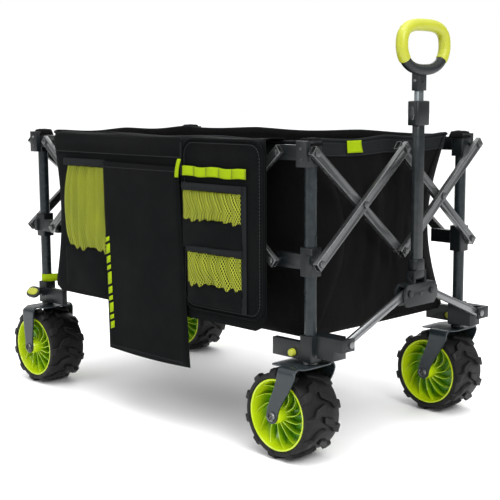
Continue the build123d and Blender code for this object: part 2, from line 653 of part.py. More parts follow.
with BuildPart() as inner_tube:
    wall = 2 * HANDLE_WALL
    sleeve(INNER_TUBE_BOTTOM, FERRULE_BOTTOM, INNER_DEPTH, INNER_WIDTH, INNER_DEPTH - wall, INNER_WIDTH - wall)
save(inner_tube, "handle_inner_tube")

with BuildPart() as grip:
    centre_z = (GRIP_TOP + GRIP_BOTTOM) / 2
    height = GRIP_TOP - GRIP_BOTTOM
    face = Plane(origin=(STAY_X + GRIP_FORWARD, 0, 0), x_dir=(0, 1, 0), z_dir=(1, 0, 0))
    with BuildSketch(face):
        with Locations((0, centre_z)):
            RectangleRounded(GRIP_WIDTH, height, height * GRIP_ROUND)
            hole = height - 2 * GRIP_SECTION
            RectangleRounded(GRIP_WIDTH - 2 * GRIP_SECTION, hole, hole * GRIP_ROUND, mode=Mode.SUBTRACT)
    extrude(amount=GRIP_SECTION / 2, both=True)
    fillet(edges().filter_by(Axis.X, reverse=True), GRIP_EDGE)
    with BuildSketch(Plane.XY.offset(FERRULE_BOTTOM)):
        with Locations((STAY_X, 0)):
            RectangleRounded(FERRULE_DEPTH, FERRULE_WIDTH, HANDLE_CORNER)
    extrude(amount=GRIP_BOTTOM + GRIP_SECTION / 2 - FERRULE_BOTTOM)
save(grip, "handle_grip")

# ---------------------------------------------------------------- floor pad, tub and organiser

PAD_BOTTOM = TUB_BOTTOM + CLOTH + RUNNING_GAP
RIM_HEIGHT = FRAME_TOP + RUNNING_GAP
INSIDE_X = TUB_X - CLOTH
INSIDE_Y = TUB_Y - CLOTH

for side, sy in (("left", -1), ("right", 1)):
    with BuildPart() as pad:
        block(
            (-INSIDE_X + PAD_GAP, INSIDE_X - PAD_GAP),
            (sy * PAD_GAP, sy * (INSIDE_Y - PAD_GAP)),
            (PAD_BOTTOM, PAD_BOTTOM + PAD_THICKNESS),
        )
    save(pad, f"floor_pad_{side}")

with BuildPart() as tub:
    with BuildSketch(Plane.XY.offset(TUB_BOTTOM)):
        Rectangle(2 * TUB_X, 2 * TUB_Y)
    extrude(amount=RIM_HEIGHT - TUB_BOTTOM)
    with BuildSketch(Plane.XY.offset(TUB_BOTTOM + CLOTH)):
        Rectangle(2 * INSIDE_X, 2 * INSIDE_Y)
    extrude(amount=RIM_HEIGHT - TUB_BOTTOM, mode=Mode.SUBTRACT)
    # a cap of cloth at each corner lies over the top bracket
    for sx, sy in CORNERS.values():
        block(
            (sx * (TUB_X - CLOTH), sx * (POST_X + CAP_MARGIN)),
            (sy * (TUB_Y - CLOTH), sy * (POST_Y + CAP_MARGIN)),
            (RIM_HEIGHT, RIM_HEIGHT + CLOTH),
        )
save(tub, "tub")

BACK = -(POST_Y + STACK + ORGANISER_CLEARANCE)
with BuildPart() as organiser:
    front_face = BACK - CLOTH
    block((ORGANISER_REAR, ORGANISER_FRONT), (BACK, front_face), (ORGANISER_BOTTOM, RIM_HEIGHT))
    block((ORGANISER_REAR, ORGANISER_FRONT), (-TUB_Y, front_face), (RIM_HEIGHT, RIM_HEIGHT + CLOTH))
    pocket = (front_face, front_face - POCKET_DEPTH)
    margin, gap, low, high = REAR_POCKET
    block((ORGANISER_REAR + margin, FLAP_REAR - gap), pocket, (low, high))
    for margin, gap, low, high in FRONT_POCKETS:
        block((FLAP_FRONT + gap, ORGANISER_FRONT - margin), pocket, (low, high))
    flap_back = front_face - RUNNING_GAP
    block((FLAP_REAR, FLAP_FRONT), (flap_back, flap_back - CLOTH), (FLAP_BOTTOM, FLAP_TOP))
save(organiser, "organiser")
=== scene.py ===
# %% [markdown]
# # A folding camp wagon
# The wagon is a scissor frame on four fat wheels. A sewn tub hangs inside it, an organiser hangs
# on its side, and a tilting, telescoping handle stands at its front. The CAD model gives every
# place and every motion. This lesson dresses that frame: each piece is built round the box of the
# CAD solid that it stands for, so nothing has to be fitted by eye.

# %% Load the frame
from math import copysign, cos, exp, hypot, pi, radians, sin, sqrt

import bmesh
import bpy
from mathutils import Matrix, Vector, noise


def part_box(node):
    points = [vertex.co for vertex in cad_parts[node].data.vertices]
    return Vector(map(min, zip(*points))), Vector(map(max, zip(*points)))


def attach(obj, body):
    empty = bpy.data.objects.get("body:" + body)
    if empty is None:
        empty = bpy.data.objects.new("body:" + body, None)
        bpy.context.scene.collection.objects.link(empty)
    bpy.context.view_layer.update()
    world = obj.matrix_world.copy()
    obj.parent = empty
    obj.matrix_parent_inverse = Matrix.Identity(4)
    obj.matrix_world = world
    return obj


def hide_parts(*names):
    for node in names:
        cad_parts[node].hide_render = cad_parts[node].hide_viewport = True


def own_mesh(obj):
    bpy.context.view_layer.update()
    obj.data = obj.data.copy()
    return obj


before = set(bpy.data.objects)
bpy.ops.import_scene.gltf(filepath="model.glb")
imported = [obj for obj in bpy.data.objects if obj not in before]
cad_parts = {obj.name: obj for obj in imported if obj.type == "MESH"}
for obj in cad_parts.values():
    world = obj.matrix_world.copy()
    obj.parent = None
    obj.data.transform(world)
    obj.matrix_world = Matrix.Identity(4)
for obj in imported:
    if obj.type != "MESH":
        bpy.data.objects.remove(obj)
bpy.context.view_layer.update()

# %% [markdown]
# ## The studio
# A long lens from the front left corner, a little above the rim, keeps the posts nearly parallel.
# The floor is a wide pale sheet. Four soft lights, the strongest of them overhead, draw the thin
# bright lines along the tops of the dark bars. The sky is a soft dome, bright overhead and dim at
# the horizon, so upright faces stay dark while edges and shoulders shine; the camera itself sees
# plain white.

# %% Camera
LENS, SENSOR = 79.27, 36.0  # millimetres
CAMERA_PLACE = (1.9368, -1.8479, 0.7428)
HEADING, DIP, ROLL = 45.83, 8.08, -0.33  # degrees
camera_data = bpy.data.cameras.new("camera")
camera_data.lens, camera_data.sensor_width = LENS, SENSOR
camera = bpy.data.objects.new("camera", camera_data)
camera.matrix_world = (
    Matrix.Translation(CAMERA_PLACE)
    @ Matrix.Rotation(radians(HEADING), 4, "Z")
    @ Matrix.Rotation(radians(90 - DIP), 4, "X")
    @ Matrix.Rotation(radians(ROLL), 4, "Z")
)
bpy.context.collection.objects.link(camera)
bpy.context.scene.camera = camera
print("camera stands", round(camera.location.length, 2), "m from the origin")


# %% Floor and lights
def put(obj):
    """Links an object into the scene and gives it back."""
    bpy.context.collection.objects.link(obj)
    return obj


FLOOR_HALF = 30.0
floor_mesh = bpy.data.meshes.new("floor")
square = [(x * FLOOR_HALF, y * FLOOR_HALF, 0) for x, y in ((-1, -1), (1, -1), (1, 1), (-1, 1))]
floor_mesh.from_pydata(square, [], [(0, 1, 2, 3)])
floor = put(bpy.data.objects.new("floor", floor_mesh))
paper = bpy.data.materials.new("studio_paper")
paper.use_nodes = True
paper_shader = paper.node_tree.nodes["Principled BSDF"]
paper_shader.inputs["Base Color"].default_value = (0.93, 0.93, 0.935, 1)
paper_shader.inputs["Roughness"].default_value = 0.9
paper_shader.inputs["Specular IOR Level"].default_value = 0.1
floor_mesh.materials.append(paper)

LIGHTS = {  # place, size and power in watts of each soft light; all of them point at the tub
    "top_light": ((0.6, -0.5, 3.2), 2.2, 60),
    "key_light": ((2.6, -0.9, 1.9), 1.4, 45),
    "side_light": ((-0.7, -3.2, 1.6), 1.8, 25),
    "back_light": ((-2.2, 2.4, 2.4), 1.8, 30),
}
AIM = Vector((0, 0, 0.4))
for name, (place, size, power) in LIGHTS.items():
    light = bpy.data.lights.new(name, "AREA")
    light.energy, light.size = power, size
    lamp = put(bpy.data.objects.new(name, light))
    lamp.location = place
    lamp.rotation_euler = (AIM - Vector(place)).to_track_quat("-Z", "Y").to_euler()

world = bpy.data.worlds.new("studio")
world.use_nodes = True
sky = world.node_tree
up = sky.nodes.new("ShaderNodeSeparateXYZ")
sky.links.new(sky.nodes.new("ShaderNodeTexCoord").outputs["Generated"], up.inputs[0])
HORIZON, ZENITH = 0.22, 1.85
glow = sky.nodes.new("ShaderNodeMapRange")
glow.inputs["To Min"].default_value, glow.inputs["To Max"].default_value = HORIZON, ZENITH
sky.links.new(up.outputs["Z"], glow.inputs["Value"])
seen = sky.nodes.new("ShaderNodeLightPath")
strength = sky.nodes.new("ShaderNodeMix")
sky.links.new(seen.outputs["Is Camera Ray"], strength.inputs[0])
sky.links.new(glow.outputs[0], strength.inputs[2])
strength.inputs[3].default_value = 1.0
sky.links.new(strength.outputs[0], sky.nodes["Background"].inputs["Strength"])
sky.nodes["Background"].inputs["Color"].default_value = (1, 1, 1, 1)
bpy.context.scene.world = world
bpy.context.scene.view_settings.view_transform = "Standard"
print("lights:", ", ".join(LIGHTS))

# %% [markdown]
# ## Effects shared by the finishes
# Powder coat, moulded plastic, rubber and cloth are all a plain colour with something fine on top.
# Each of those fine things is one node group, built once, with named inputs so that every finish
# can use it at its own scale: grain for moulded and painted skins, wear where an edge is rubbed,
# weave for cloth and webbing, and net for the stretchy pocket mesh.


# %% Tools for node trees
def new_group(name, inputs, outputs):
    """A shader node group with float or vector sockets, and its two end nodes."""
    group = bpy.data.node_groups.new(name, "ShaderNodeTree")
    for label, value in inputs.items():
        kind = "NodeSocketFloat" if isinstance(value, (int, float)) else "NodeSocketVector"
        socket = group.interface.new_socket(label, in_out="INPUT", socket_type=kind)
        socket.default_value = value
    for label in outputs:
        group.interface.new_socket(label, in_out="OUTPUT", socket_type="NodeSocketFloat")
    return group, group.nodes.new("NodeGroupInput").outputs, group.nodes.new("NodeGroupOutput").inputs


def wire(tree, value, socket):
    """Sets a socket to a number or links it to another socket."""
    if isinstance(value, bpy.types.NodeSocket):
        tree.links.new(value, socket)
    else:
        socket.default_value = value


def add(tree, kind, settings=None, **inputs):
    """A node with its settings, its inputs set to numbers or linked to other sockets."""
    node = tree.nodes.new(kind)
    for label, value in (settings or {}).items():
        setattr(node, label, value)
    for label, value in inputs.items():
        wire(tree, value, node.inputs[label.replace("_", " ")])
    return node


def calc(tree, operation, *values, clamp=False):
    """One Math node, with numbers or sockets as its inputs."""
    node = add(tree, "ShaderNodeMath", {"operation": operation, "use_clamp": clamp})
    for value, socket in zip(values, node.inputs):
        wire(tree, value, socket)
    return node.outputs[0]


def fit(tree, value, low, high, to_low=0.0, to_high=1.0):
    """Maps a range of values smoothly onto another range."""
    node = add(tree, "ShaderNodeMapRange", {"interpolation_type": "SMOOTHSTEP"})
    for number, socket in zip((value, low, high, to_low, to_high), node.inputs):
        wire(tree, number, socket)
    return node.outputs[0]


def cloud(tree, vector, scale, detail=3.0):
    """Noise from 0 to 1 over a vector."""
    return add(tree, "ShaderNodeTexNoise", Vector=vector, Scale=scale, Detail=detail).outputs["Fac"]


def place_of(tree):
    """The point of the surface on its own object, in metres."""
    return tree.nodes.new("ShaderNodeTexCoord").outputs["Object"]


def cloth_of(tree):
    """The point of the cloth on its flat cut, in metres."""
    return tree.nodes.new("ShaderNodeTexCoord").outputs["UV"]


# %% Grain, wear, weave and net
grain, into, out = new_group("grain", {"Scale": 900.0, "Patches": 14.0}, ["Height", "Patch"])
wire(grain, cloud(grain, place_of(grain), into["Scale"], 2.0), out["Height"])
wire(grain, cloud(grain, place_of(grain), into["Patches"], 4.0), out["Patch"])

wear, into, out = new_group("wear", {"Scale": 60.0, "Amount": 0.5}, ["Worn"])
edge = fit(wear, wear.nodes.new("ShaderNodeNewGeometry").outputs["Pointiness"], 0.51, 0.60)
rubbed = fit(wear, cloud(wear, place_of(wear), into["Scale"], 5.0), 0.42, 0.62)
worn = calc(wear, "MULTIPLY", calc(wear, "MULTIPLY", edge, rubbed), into["Amount"], clamp=True)
wire(wear, worn, out["Worn"])

weave, into, out = new_group(
    "weave", {"Cloth": (0, 0, 0), "Threads": 700.0, "Stretch": 1.0}, ["Height", "Warp"]
)
split = add(weave, "ShaderNodeSeparateXYZ", Vector=into["Cloth"])
across = calc(weave, "MULTIPLY", split.outputs["X"], into["Threads"])
along = calc(weave, "MULTIPLY", calc(weave, "MULTIPLY", split.outputs["Y"], into["Threads"]), into["Stretch"])
crest = [calc(weave, "SINE", calc(weave, "MULTIPLY", calc(weave, "FRACT", t), pi)) for t in (across, along)]
cell = calc(weave, "ADD", calc(weave, "FLOOR", across), calc(weave, "FLOOR", along))
over = calc(weave, "FLOORED_MODULO", cell, 2.0)
under = calc(weave, "SUBTRACT", 1.0, over)
height = calc(weave, "ADD", calc(weave, "MULTIPLY", crest[0], over), calc(weave, "MULTIPLY", crest[1], under))
wire(weave, height, out["Height"])
wire(weave, over, out["Warp"])

net, into, out = new_group("net", {"Cloth": (0, 0, 0), "Cells": 200.0}, ["Thread", "Height"])
split = add(net, "ShaderNodeSeparateXYZ", Vector=into["Cloth"])
lean = []
for operation in ("ADD", "SUBTRACT"):
    slant = calc(net, operation, split.outputs["X"], calc(net, "MULTIPLY", split.outputs["Y"], 0.62))
    turn = calc(net, "MULTIPLY", calc(net, "MULTIPLY", slant, into["Cells"]), pi)
    lean.append(calc(net, "ABSOLUTE", calc(net, "SINE", turn)))
hole = calc(net, "MULTIPLY", *lean)
wire(net, fit(net, hole, 0.30, 0.52, 1.0, 0.0), out["Thread"])
wire(net, calc(net, "SUBTRACT", 1.0, hole), out["Height"])
print("node groups:", [g.name for g in bpy.data.node_groups])

# %% [markdown]
# ## The finishes
# Every slot of the record gets one finish. The hard ones share a builder: a base colour that shifts
# a little in patches, a fine bump, and a paler or bare colour where edges are rubbed. The cloths
# share another: their pattern follows the flat cut of each piece, which is its UV map, in metres.


# %% Hard finishes
def use(tree, group, **values):
    """Places a node group in a material and sets or links its inputs."""
    return add(tree, "ShaderNodeGroup", {"node_tree": group}, **values).outputs


def blend_colour(tree, share, first, second):
    """Mixes two colours; each is a tuple or a socket."""
    node = add(tree, "ShaderNodeMix", {"data_type": "RGBA"})
    wire(tree, share, node.inputs[0])
    for value, socket in zip((first, second), (node.inputs[6], node.inputs[7])):
        wire(tree, (*value, 1) if isinstance(value, tuple) else value, socket)
    return node.outputs[2]


def bump(tree, height, depth, normal=None):
    """Bump from a height that runs from 0 to 1, with its depth in metres."""
    node = add(tree, "ShaderNodeBump", Distance=depth, Height=height)
    if normal is not None:
        wire(tree, normal, node.inputs["Normal"])
    return node.outputs[0]


def start_material(name, **constants):
    """A node material, its tree and its Principled shader with the constants set."""
    material = bpy.data.materials.new(name)
    material.use_nodes = True
    shader = material.node_tree.nodes["Principled BSDF"]
    for label, value in constants.items():
        shader.inputs[label.replace("_", " ")].default_value = value
    return material, material.node_tree, shader.inputs


def hard(name, colour, roughness, metallic, worn, fine=1100.0, depth=0.00006, rub=0.25, spread=0.10,
         **constants):
    """Painted steel or moulded plastic: grain, patches, and edges that are rubbed to the worn colour."""
    material, tree, shader = start_material(name, **constants)
    skin = use(tree, grain, Scale=fine, Patches=11.0)
    rubbed = use(tree, wear, Scale=70.0, Amount=rub)["Worn"]
    darker = tuple(c * (1 - spread) for c in colour)
    patchy = blend_colour(tree, skin["Patch"], darker, tuple(c * (1 + spread) for c in colour))
    wire(tree, blend_colour(tree, rubbed, patchy, worn), shader["Base Color"])
    wire(tree, fit(tree, skin["Patch"], 0.3, 0.7, roughness - 0.06, roughness + 0.07), shader["Roughness"])
    wire(tree, calc(tree, "MAXIMUM", rubbed, metallic), shader["Metallic"])
    wire(tree, bump(tree, skin["Height"], depth), shader["Normal"])
    return material


BARE = (0.3, 0.3, 0.3)  # steel where the paint is rubbed off
FINISH = {
    "post_steel": hard(
        "post_paint", (0.0080, 0.0125, 0.0145), 0.28, 0.12, (0.04, 0.05, 0.055), spread=0.05,
        Specular_IOR_Level=0.3,
    ),
    "bar_steel": hard("bar_paint", (0.085, 0.088, 0.090), 0.24, 0.75, BARE, rub=0.2, spread=0.06),
    "fork_steel": hard("fork_paint", (0.018, 0.025, 0.029), 0.30, 0.35, (0.08, 0.09, 0.10)),
    "handle_steel": hard(
        "handle_paint", (0.0080, 0.0105, 0.0115), 0.28, 0.12, (0.05, 0.055, 0.06), Specular_IOR_Level=0.3
    ),
    "black_plastic": hard(
        "moulded_black", (0.0042, 0.0060, 0.0070), 0.38, 0.0, (0.018, 0.020, 0.022), fine=700.0,
        depth=0.00012, rub=0.15, Specular_IOR_Level=0.3,
    ),
    "lime_plastic": hard(
        "moulded_lime", (0.32, 0.34, 0.012), 0.40, 0.0, (0.50, 0.54, 0.15), fine=800.0, rub=0.2, spread=0.06
    ),
    "stay_steel": hard("stay_paint", (0.16, 0.165, 0.17), 0.24, 0.8, BARE, rub=0.1, spread=0.05),
    "bolt": hard("blackened_bolt", (0.03, 0.033, 0.036), 0.3, 0.6, BARE, rub=0.6),
    "inner_steel": hard("inner_tube_paint", (0.085, 0.100, 0.108), 0.28, 0.45, (0.3, 0.32, 0.33)),
}
print("hard finishes:", list(FINISH))

# %% [markdown]
# The rim is glossy moulded lime. Its floor, deep between the ribs, is painted greener and darker
# than its lip: that is painted shade, and the rim's mesh carries a point attribute that says how
# deep each point lies, as its mask. The tyre is black rubber with a little dust in patches.


# %% Rim and rubber
def rim_finish():
    """Glossy lime with painted shade: it turns darker and greener towards the floor of the dish."""
    material, tree, shader = start_material("rim_lime", Roughness=0.22, Coat_Weight=0.4, Coat_Roughness=0.12)
    recess_shade = add(tree, "ShaderNodeAttribute", {"attribute_name": "recess_shade"})
    skin = use(tree, grain, Scale=500.0, Patches=16.0)
    lip = blend_colour(tree, skin["Patch"], (0.40, 0.53, 0.003), (0.47, 0.59, 0.006))
    # painted shade: dark green is blended in where the recess mask is high, on the floor of the dish
    wire(tree, blend_colour(tree, recess_shade.outputs["Fac"], lip, (0.08, 0.28, 0.003)), shader["Base Color"])
    wire(tree, bump(tree, skin["Height"], 0.00004), shader["Normal"])
    return material


def rubber_finish():
    """Dull black rubber with pale dust in patches."""
    material, tree, shader = start_material("rubber", Specular_IOR_Level=0.22)
    skin = use(tree, grain, Scale=420.0, Patches=22.0)
    dust = fit(tree, skin["Patch"], 0.52, 0.75, 0.0, 0.35)
    dusty = blend_colour(tree, dust, (0.0036, 0.0036, 0.0038), (0.0115, 0.0115, 0.0110))
    wire(tree, dusty, shader["Base Color"])
    wire(tree, fit(tree, skin["Patch"], 0.3, 0.7, 0.42, 0.62), shader["Roughness"])
    wire(tree, bump(tree, skin["Height"], 0.00025), shader["Normal"])
    return material


FINISH["lime_rim"] = rim_finish()
FINISH["tyre_rubber"] = rubber_finish()
print("rim and rubber ready")


# %% Cloths
def woven(name, colour, second, threads, stretch=1.0, depth=0.0003, roughness=0.85, sheen=0.01,
          wrinkle=0.004):
    """Woven cloth: two thread colours, a soft shift in patches, thread bump and fine wrinkles."""
    material, tree, shader = start_material(
        name, Sheen_Weight=sheen, Sheen_Roughness=0.5, Specular_IOR_Level=0.06
    )
    threads_out = use(tree, weave, Cloth=cloth_of(tree), Threads=threads, Stretch=stretch)
    skin = use(tree, grain, Scale=260.0, Patches=9.0)
    yarn = blend_colour(tree, calc(tree, "MULTIPLY", threads_out["Warp"], 0.6), colour, second)
    tone = blend_colour(tree, skin["Patch"], tuple(c * 0.7 for c in colour), tuple(c * 1.35 for c in second))
    wire(tree, blend_colour(tree, 0.45, yarn, tone), shader["Base Color"])
    wire(tree, fit(tree, skin["Patch"], 0.3, 0.7, roughness - 0.08, roughness + 0.08), shader["Roughness"])
    creases = bump(tree, cloud(tree, place_of(tree), 34.0, 2.0), wrinkle)
    wire(tree, bump(tree, threads_out["Height"], depth, creases), shader["Normal"])
    return material


def net_finish():
    """Stretchy lime mesh: threads round open holes."""
    material, tree, shader = start_material("pocket_net", Roughness=0.6, Sheen_Weight=0.0)
    mesh = use(tree, net, Cloth=cloth_of(tree), Cells=175.0)
    skin = use(tree, grain, Scale=300.0, Patches=30.0)
    lime = blend_colour(tree, skin["Patch"], (0.20, 0.235, 0.001), (0.31, 0.345, 0.002))
    wire(tree, lime, shader["Base Color"])
    wire(tree, mesh["Thread"], shader["Alpha"])
    wire(tree, bump(tree, mesh["Height"], 0.0005), shader["Normal"])
    return material


FINISH["black_fabric"] = woven("tub_canvas", (0.0020, 0.0018, 0.0018), (0.0036, 0.0032, 0.0032), 620.0)
FINISH["organiser_fabric"] = woven(
    "organiser_canvas", (0.0012, 0.0016, 0.0018), (0.0021, 0.0026, 0.0029), 900.0, depth=0.0002, wrinkle=0.002
)
FINISH["pad_fabric"] = woven("pad_canvas", (0.020, 0.021, 0.023), (0.034, 0.035, 0.038), 520.0, wrinkle=0.003)
FINISH["black_webbing"] = woven(
    "black_webbing", (0.0062, 0.0072, 0.0080), (0.0130, 0.0150, 0.0165), 420.0, 2.2
)
FINISH["lime_webbing"] = woven(
    "lime_webbing", (0.215, 0.310, 0.002), (0.275, 0.385, 0.004), 420.0, 2.2, roughness=0.6, sheen=0.0,
    wrinkle=0.001,
)
FINISH["lime_net"] = net_finish()
FINISH["thread"] = woven("thread", (0.03, 0.032, 0.035), (0.05, 0.052, 0.055), 1500.0, wrinkle=0.0005)
print(len(FINISH), "finishes")

# %% [markdown]
# ## Tools for the pieces
# A piece made from a CAD node starts as a merged copy of it, loses the lines across its flat faces,
# and gets a small round on its sharp edges, because no moulded or drawn edge is perfectly sharp and
# the round catches the light. Other pieces are made from rows of points: rings round an axis for
# turned and moulded parts, and grids for cloth.


# %% Piece tools
def mount(obj, body, slot, *nodes):
    """Rides a piece on its body and hides the CAD nodes that it stands for; slot is not used."""
    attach(obj, body)
    if nodes:
        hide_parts(*nodes)
    return obj


def make(name, points, faces, finish):
    """A mesh piece from points and faces, shaded smooth."""
    mesh = bpy.data.meshes.new(name)
    mesh.from_pydata([tuple(p) for p in points], [], faces)
    mesh.materials.append(FINISH[finish])
    mesh.shade_smooth()
    return put(bpy.data.objects.new(name, mesh))


def settle(obj):
    """Makes what the modifiers show the piece's own mesh, and takes the modifiers off."""
    bpy.context.view_layer.update()
    graph = bpy.context.evaluated_depsgraph_get()
    mesh = bpy.data.meshes.new_from_object(obj.evaluated_get(graph), depsgraph=graph)
    if obj.type == "MESH":
        obj.modifiers.clear()
        obj.data = mesh
        return obj
    solid = put(bpy.data.objects.new(obj.name + "_mesh", mesh))
    bpy.data.objects.remove(obj)
    return solid


def crease(obj, angle=30):
    """Smooth shading that stays crisp across edges sharper than an angle."""
    mesh = obj.data
    mesh.shade_smooth()
    mesh.set_sharp_from_angle(angle=radians(angle))
    return obj


def round_edges(obj, width, segments=2, angle=30):
    """Rounds every edge that is sharper than an angle."""
    bevel = obj.modifiers.new("round", "BEVEL")
    bevel.width, bevel.segments, bevel.limit_method = width, segments, "ANGLE"
    bevel.angle_limit = radians(angle)
    bevel.harden_normals = False
    return crease(settle(obj), 40)


def outward(obj):
    """Merges doubles and points every face outwards."""
    shape = bmesh.new()
    shape.from_mesh(obj.data)
    bmesh.ops.remove_doubles(shape, verts=shape.verts, dist=1e-6)
    bmesh.ops.recalc_face_normals(shape, faces=shape.faces)
    shape.to_mesh(obj.data)
    shape.free()
    return obj


def softened(node, body, slot, finish=None, width=0.0012, keep_box=None, name=None):
    """A rounded copy of a CAD node, or of the part of it inside a box, that stands for the node."""
    shape = bmesh.new()
    shape.from_mesh(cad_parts[node].data)
    bmesh.ops.remove_doubles(shape, verts=shape.verts, dist=2e-5)
    if keep_box:
        low, high = keep_box
        outside = [v for v in shape.verts if not all(a <= c <= b for a, c, b in zip(low, v.co, high))]
        bmesh.ops.delete(shape, geom=outside, context="VERTS")
    bmesh.ops.dissolve_limit(shape, angle_limit=radians(1), verts=shape.verts, edges=shape.edges)
    mesh = bpy.data.meshes.new(name or node + "_skin")
    shape.to_mesh(mesh)
    shape.free()
    mesh.materials.clear()
    mesh.materials.append(FINISH[finish or slot])
    for polygon in mesh.polygons:
        polygon.material_index = 0
    obj = put(bpy.data.objects.new(name or node + "_skin", mesh))
    return mount(round_edges(obj, width), body, slot, node)


def quads(rows, columns, closed=False):
    """Faces between neighbouring rows of points; a closed row joins its last point to its first."""
    return [
        (r * columns + i, r * columns + j, (r + 1) * columns + j, (r + 1) * columns + i)
        for r in range(rows - 1)
        for i in range(columns if closed else columns - 1)
        for j in [(i + 1) % columns]
    ]


def lattice(rows, columns, point):
    """Rows of point(u, v), with u running from 0 to 1 along a row and v from the first row to the last."""
    return [[point(k / columns, j / rows) for k in range(columns + 1)] for j in range(rows + 1)]


def rings(loops, closed_ends=False):
    """Points and faces of a skin through closed loops of equal length, in order."""
    n = len(loops[0])
    faces = quads(len(loops), n, closed=True)
    if closed_ends:
        faces.append(tuple(reversed(range(n))))
        faces.append(tuple(range((len(loops) - 1) * n, len(loops) * n)))
    return [p for loop in loops for p in loop], faces


def moulded(name, loops, finish, angle):
    """A capped skin through loops, crisp across edges sharper than an angle."""
    return crease(outward(make(name, *rings(loops, True), finish)), angle)


def circle(spot, side, up, radius, sides):
    """A round loop about a point, in the plane of two directions."""
    turns = [2 * pi * k / sides for k in range(sides)]
    return [spot + side * cos(a) * radius + up * sin(a) * radius for a in turns]


def turned(name, profile, centre, finish, steps=64, upright=False):
    """A shape turned round the wagon's Y, or upright; the profile is a list of (radius, distance)."""
    loops = []
    for angle in [2 * pi * i / steps for i in range(steps)]:
        loop = []
        for radius, shift in profile:
            x, side = radius * cos(angle), radius * sin(angle)
            loop.append(Vector((x, side, shift) if upright else (x, shift, side)) + Vector(centre))
        loops.append(loop)
    return crease(outward(make(name, *rings(loops + loops[:1]), finish)), 35)


def beam(name, section, low, high, centre, finish, width=0.001):
    """An upright prism from a closed section of (x, y) points round a centre."""
    loops = [[(centre[0] + x, centre[1] + y, z) for x, y in section] for z in (low, high)]
    return round_edges(outward(make(name, *rings(loops, closed_ends=True), finish)), width)


print("tools ready")

# %% [markdown]
# ## Trees that repeat things
# Three small Geometry Nodes trees do all the repeating. One turns a piece round a wheel's axle any
# number of times: tyre lugs and rim ribs are made that way. One sets a screw on every point of a
# small mesh. One follows a seam with stitches. Each ends by making its instances real and giving
# them a material, so that the result is a plain mesh.


# %% Geometry Nodes tools
def new_tree(name, inputs):
    """A Geometry Nodes tree with a geometry in and out, and named inputs."""
    tree = bpy.data.node_groups.new(name, "GeometryNodeTree")
    tree.interface.new_socket("Geometry", in_out="INPUT", socket_type="NodeSocketGeometry")
    for label, (kind, value) in inputs.items():
        socket = tree.interface.new_socket(label, in_out="INPUT", socket_type="NodeSocket" + kind)
        if value is not None:
            socket.default_value = value
    tree.interface.new_socket("Geometry", in_out="OUTPUT", socket_type="NodeSocketGeometry")
    return tree, tree.nodes.new("NodeGroupInput").outputs


def set_out(tree, points, piece, rotation, material, **scale):
    """Ends a tree: a piece on every point, made real, and given its material."""
    copies = add(
        tree, "GeometryNodeInstanceOnPoints", Points=points, Instance=piece, Rotation=rotation, **scale
    )
    real = add(tree, "GeometryNodeRealizeInstances", Geometry=copies.outputs[0])
    paint = add(tree, "GeometryNodeSetMaterial", Geometry=real.outputs["Geometry"], Material=material)
    add(tree, "NodeGroupOutput", Geometry=paint.outputs["Geometry"])


def grow(obj, tree, **values):
    """Runs a tree on a piece with the given inputs, and keeps the result as its mesh."""
    modifier = obj.modifiers.new(tree.name, "NODES")
    modifier.node_group = tree
    sockets = {s.name: s.identifier for s in tree.interface.items_tree if s.in_out == "INPUT"}
    for label, value in values.items():
        modifier[sockets[label]] = value
    return settle(obj)


# %% Round a wheel, on points, along a seam
round_wheel, into = new_tree(
    "round_wheel",
    {
        "Count": ("Int", 12), "Centre": ("Vector", None), "First angle": ("Float", 0.0),
        "Finish": ("Material", None),
    },
)
index = round_wheel.nodes.new("GeometryNodeInputIndex").outputs[0]
step_angle = calc(round_wheel, "DIVIDE", 2 * pi, into["Count"])
angle = calc(round_wheel, "ADD", calc(round_wheel, "MULTIPLY", index, step_angle), into["First angle"])
turn = add(round_wheel, "FunctionNodeAxisAngleToRotation", Axis=(0, 1, 0), Angle=angle)
spots = add(round_wheel, "GeometryNodePoints", Count=into["Count"], Position=into["Centre"])
set_out(round_wheel, spots.outputs[0], into["Geometry"], turn.outputs[0], into["Finish"])

screws, into = new_tree(
    "screws", {"Radius": ("Float", 0.005), "Height": ("Float", 0.002), "Finish": ("Material", None)}
)
aim = add(screws, "GeometryNodeInputNamedAttribute", {"data_type": "FLOAT_VECTOR"}, Name="aim")
face = add(screws, "FunctionNodeAlignRotationToVector", {"axis": "Z"}, Vector=aim.outputs[0])
both = screws.nodes.new("GeometryNodeJoinGeometry")
for sides, top, bottom, tall in ((20, 0.82, 1.0, 1.0), (6, 0.5, 0.55, 1.25)):  # the head and its socket
    cone = add(
        screws, "GeometryNodeMeshCone", Vertices=sides,
        Radius_Top=calc(screws, "MULTIPLY", into["Radius"], top),
        Radius_Bottom=calc(screws, "MULTIPLY", into["Radius"], bottom),
        Depth=calc(screws, "MULTIPLY", into["Height"], tall),
    )
    wire(screws, cone.outputs["Mesh"], both.inputs[0])
set_out(screws, into["Geometry"], both.outputs[0], face.outputs[0], into["Finish"])

stitches, into = new_tree(
    "stitches",
    {
        "Pitch": ("Float", 0.006), "Length": ("Float", 0.004), "Radius": ("Float", 0.0006),
        "Finish": ("Material", None),
    },
)
spaced = add(
    stitches, "GeometryNodeResampleCurve", {"mode": "LENGTH"}, Curve=into["Geometry"], Length=into["Pitch"]
)
thread = add(stitches, "GeometryNodeMeshUVSphere", Segments=6, Rings=4, Radius=1.0)
half = calc(stitches, "MULTIPLY", into["Length"], 0.5)
size = add(stitches, "ShaderNodeCombineXYZ", X=into["Radius"], Y=into["Radius"], Z=half)
tangent = stitches.nodes.new("GeometryNodeInputTangent").outputs[0]
follow = add(stitches, "FunctionNodeAlignRotationToVector", {"axis": "Z"}, Vector=tangent)
set_out(
    stitches, spaced.outputs[0], thread.outputs["Mesh"], follow.outputs[0], into["Finish"],
    Scale=size.outputs[0],
)


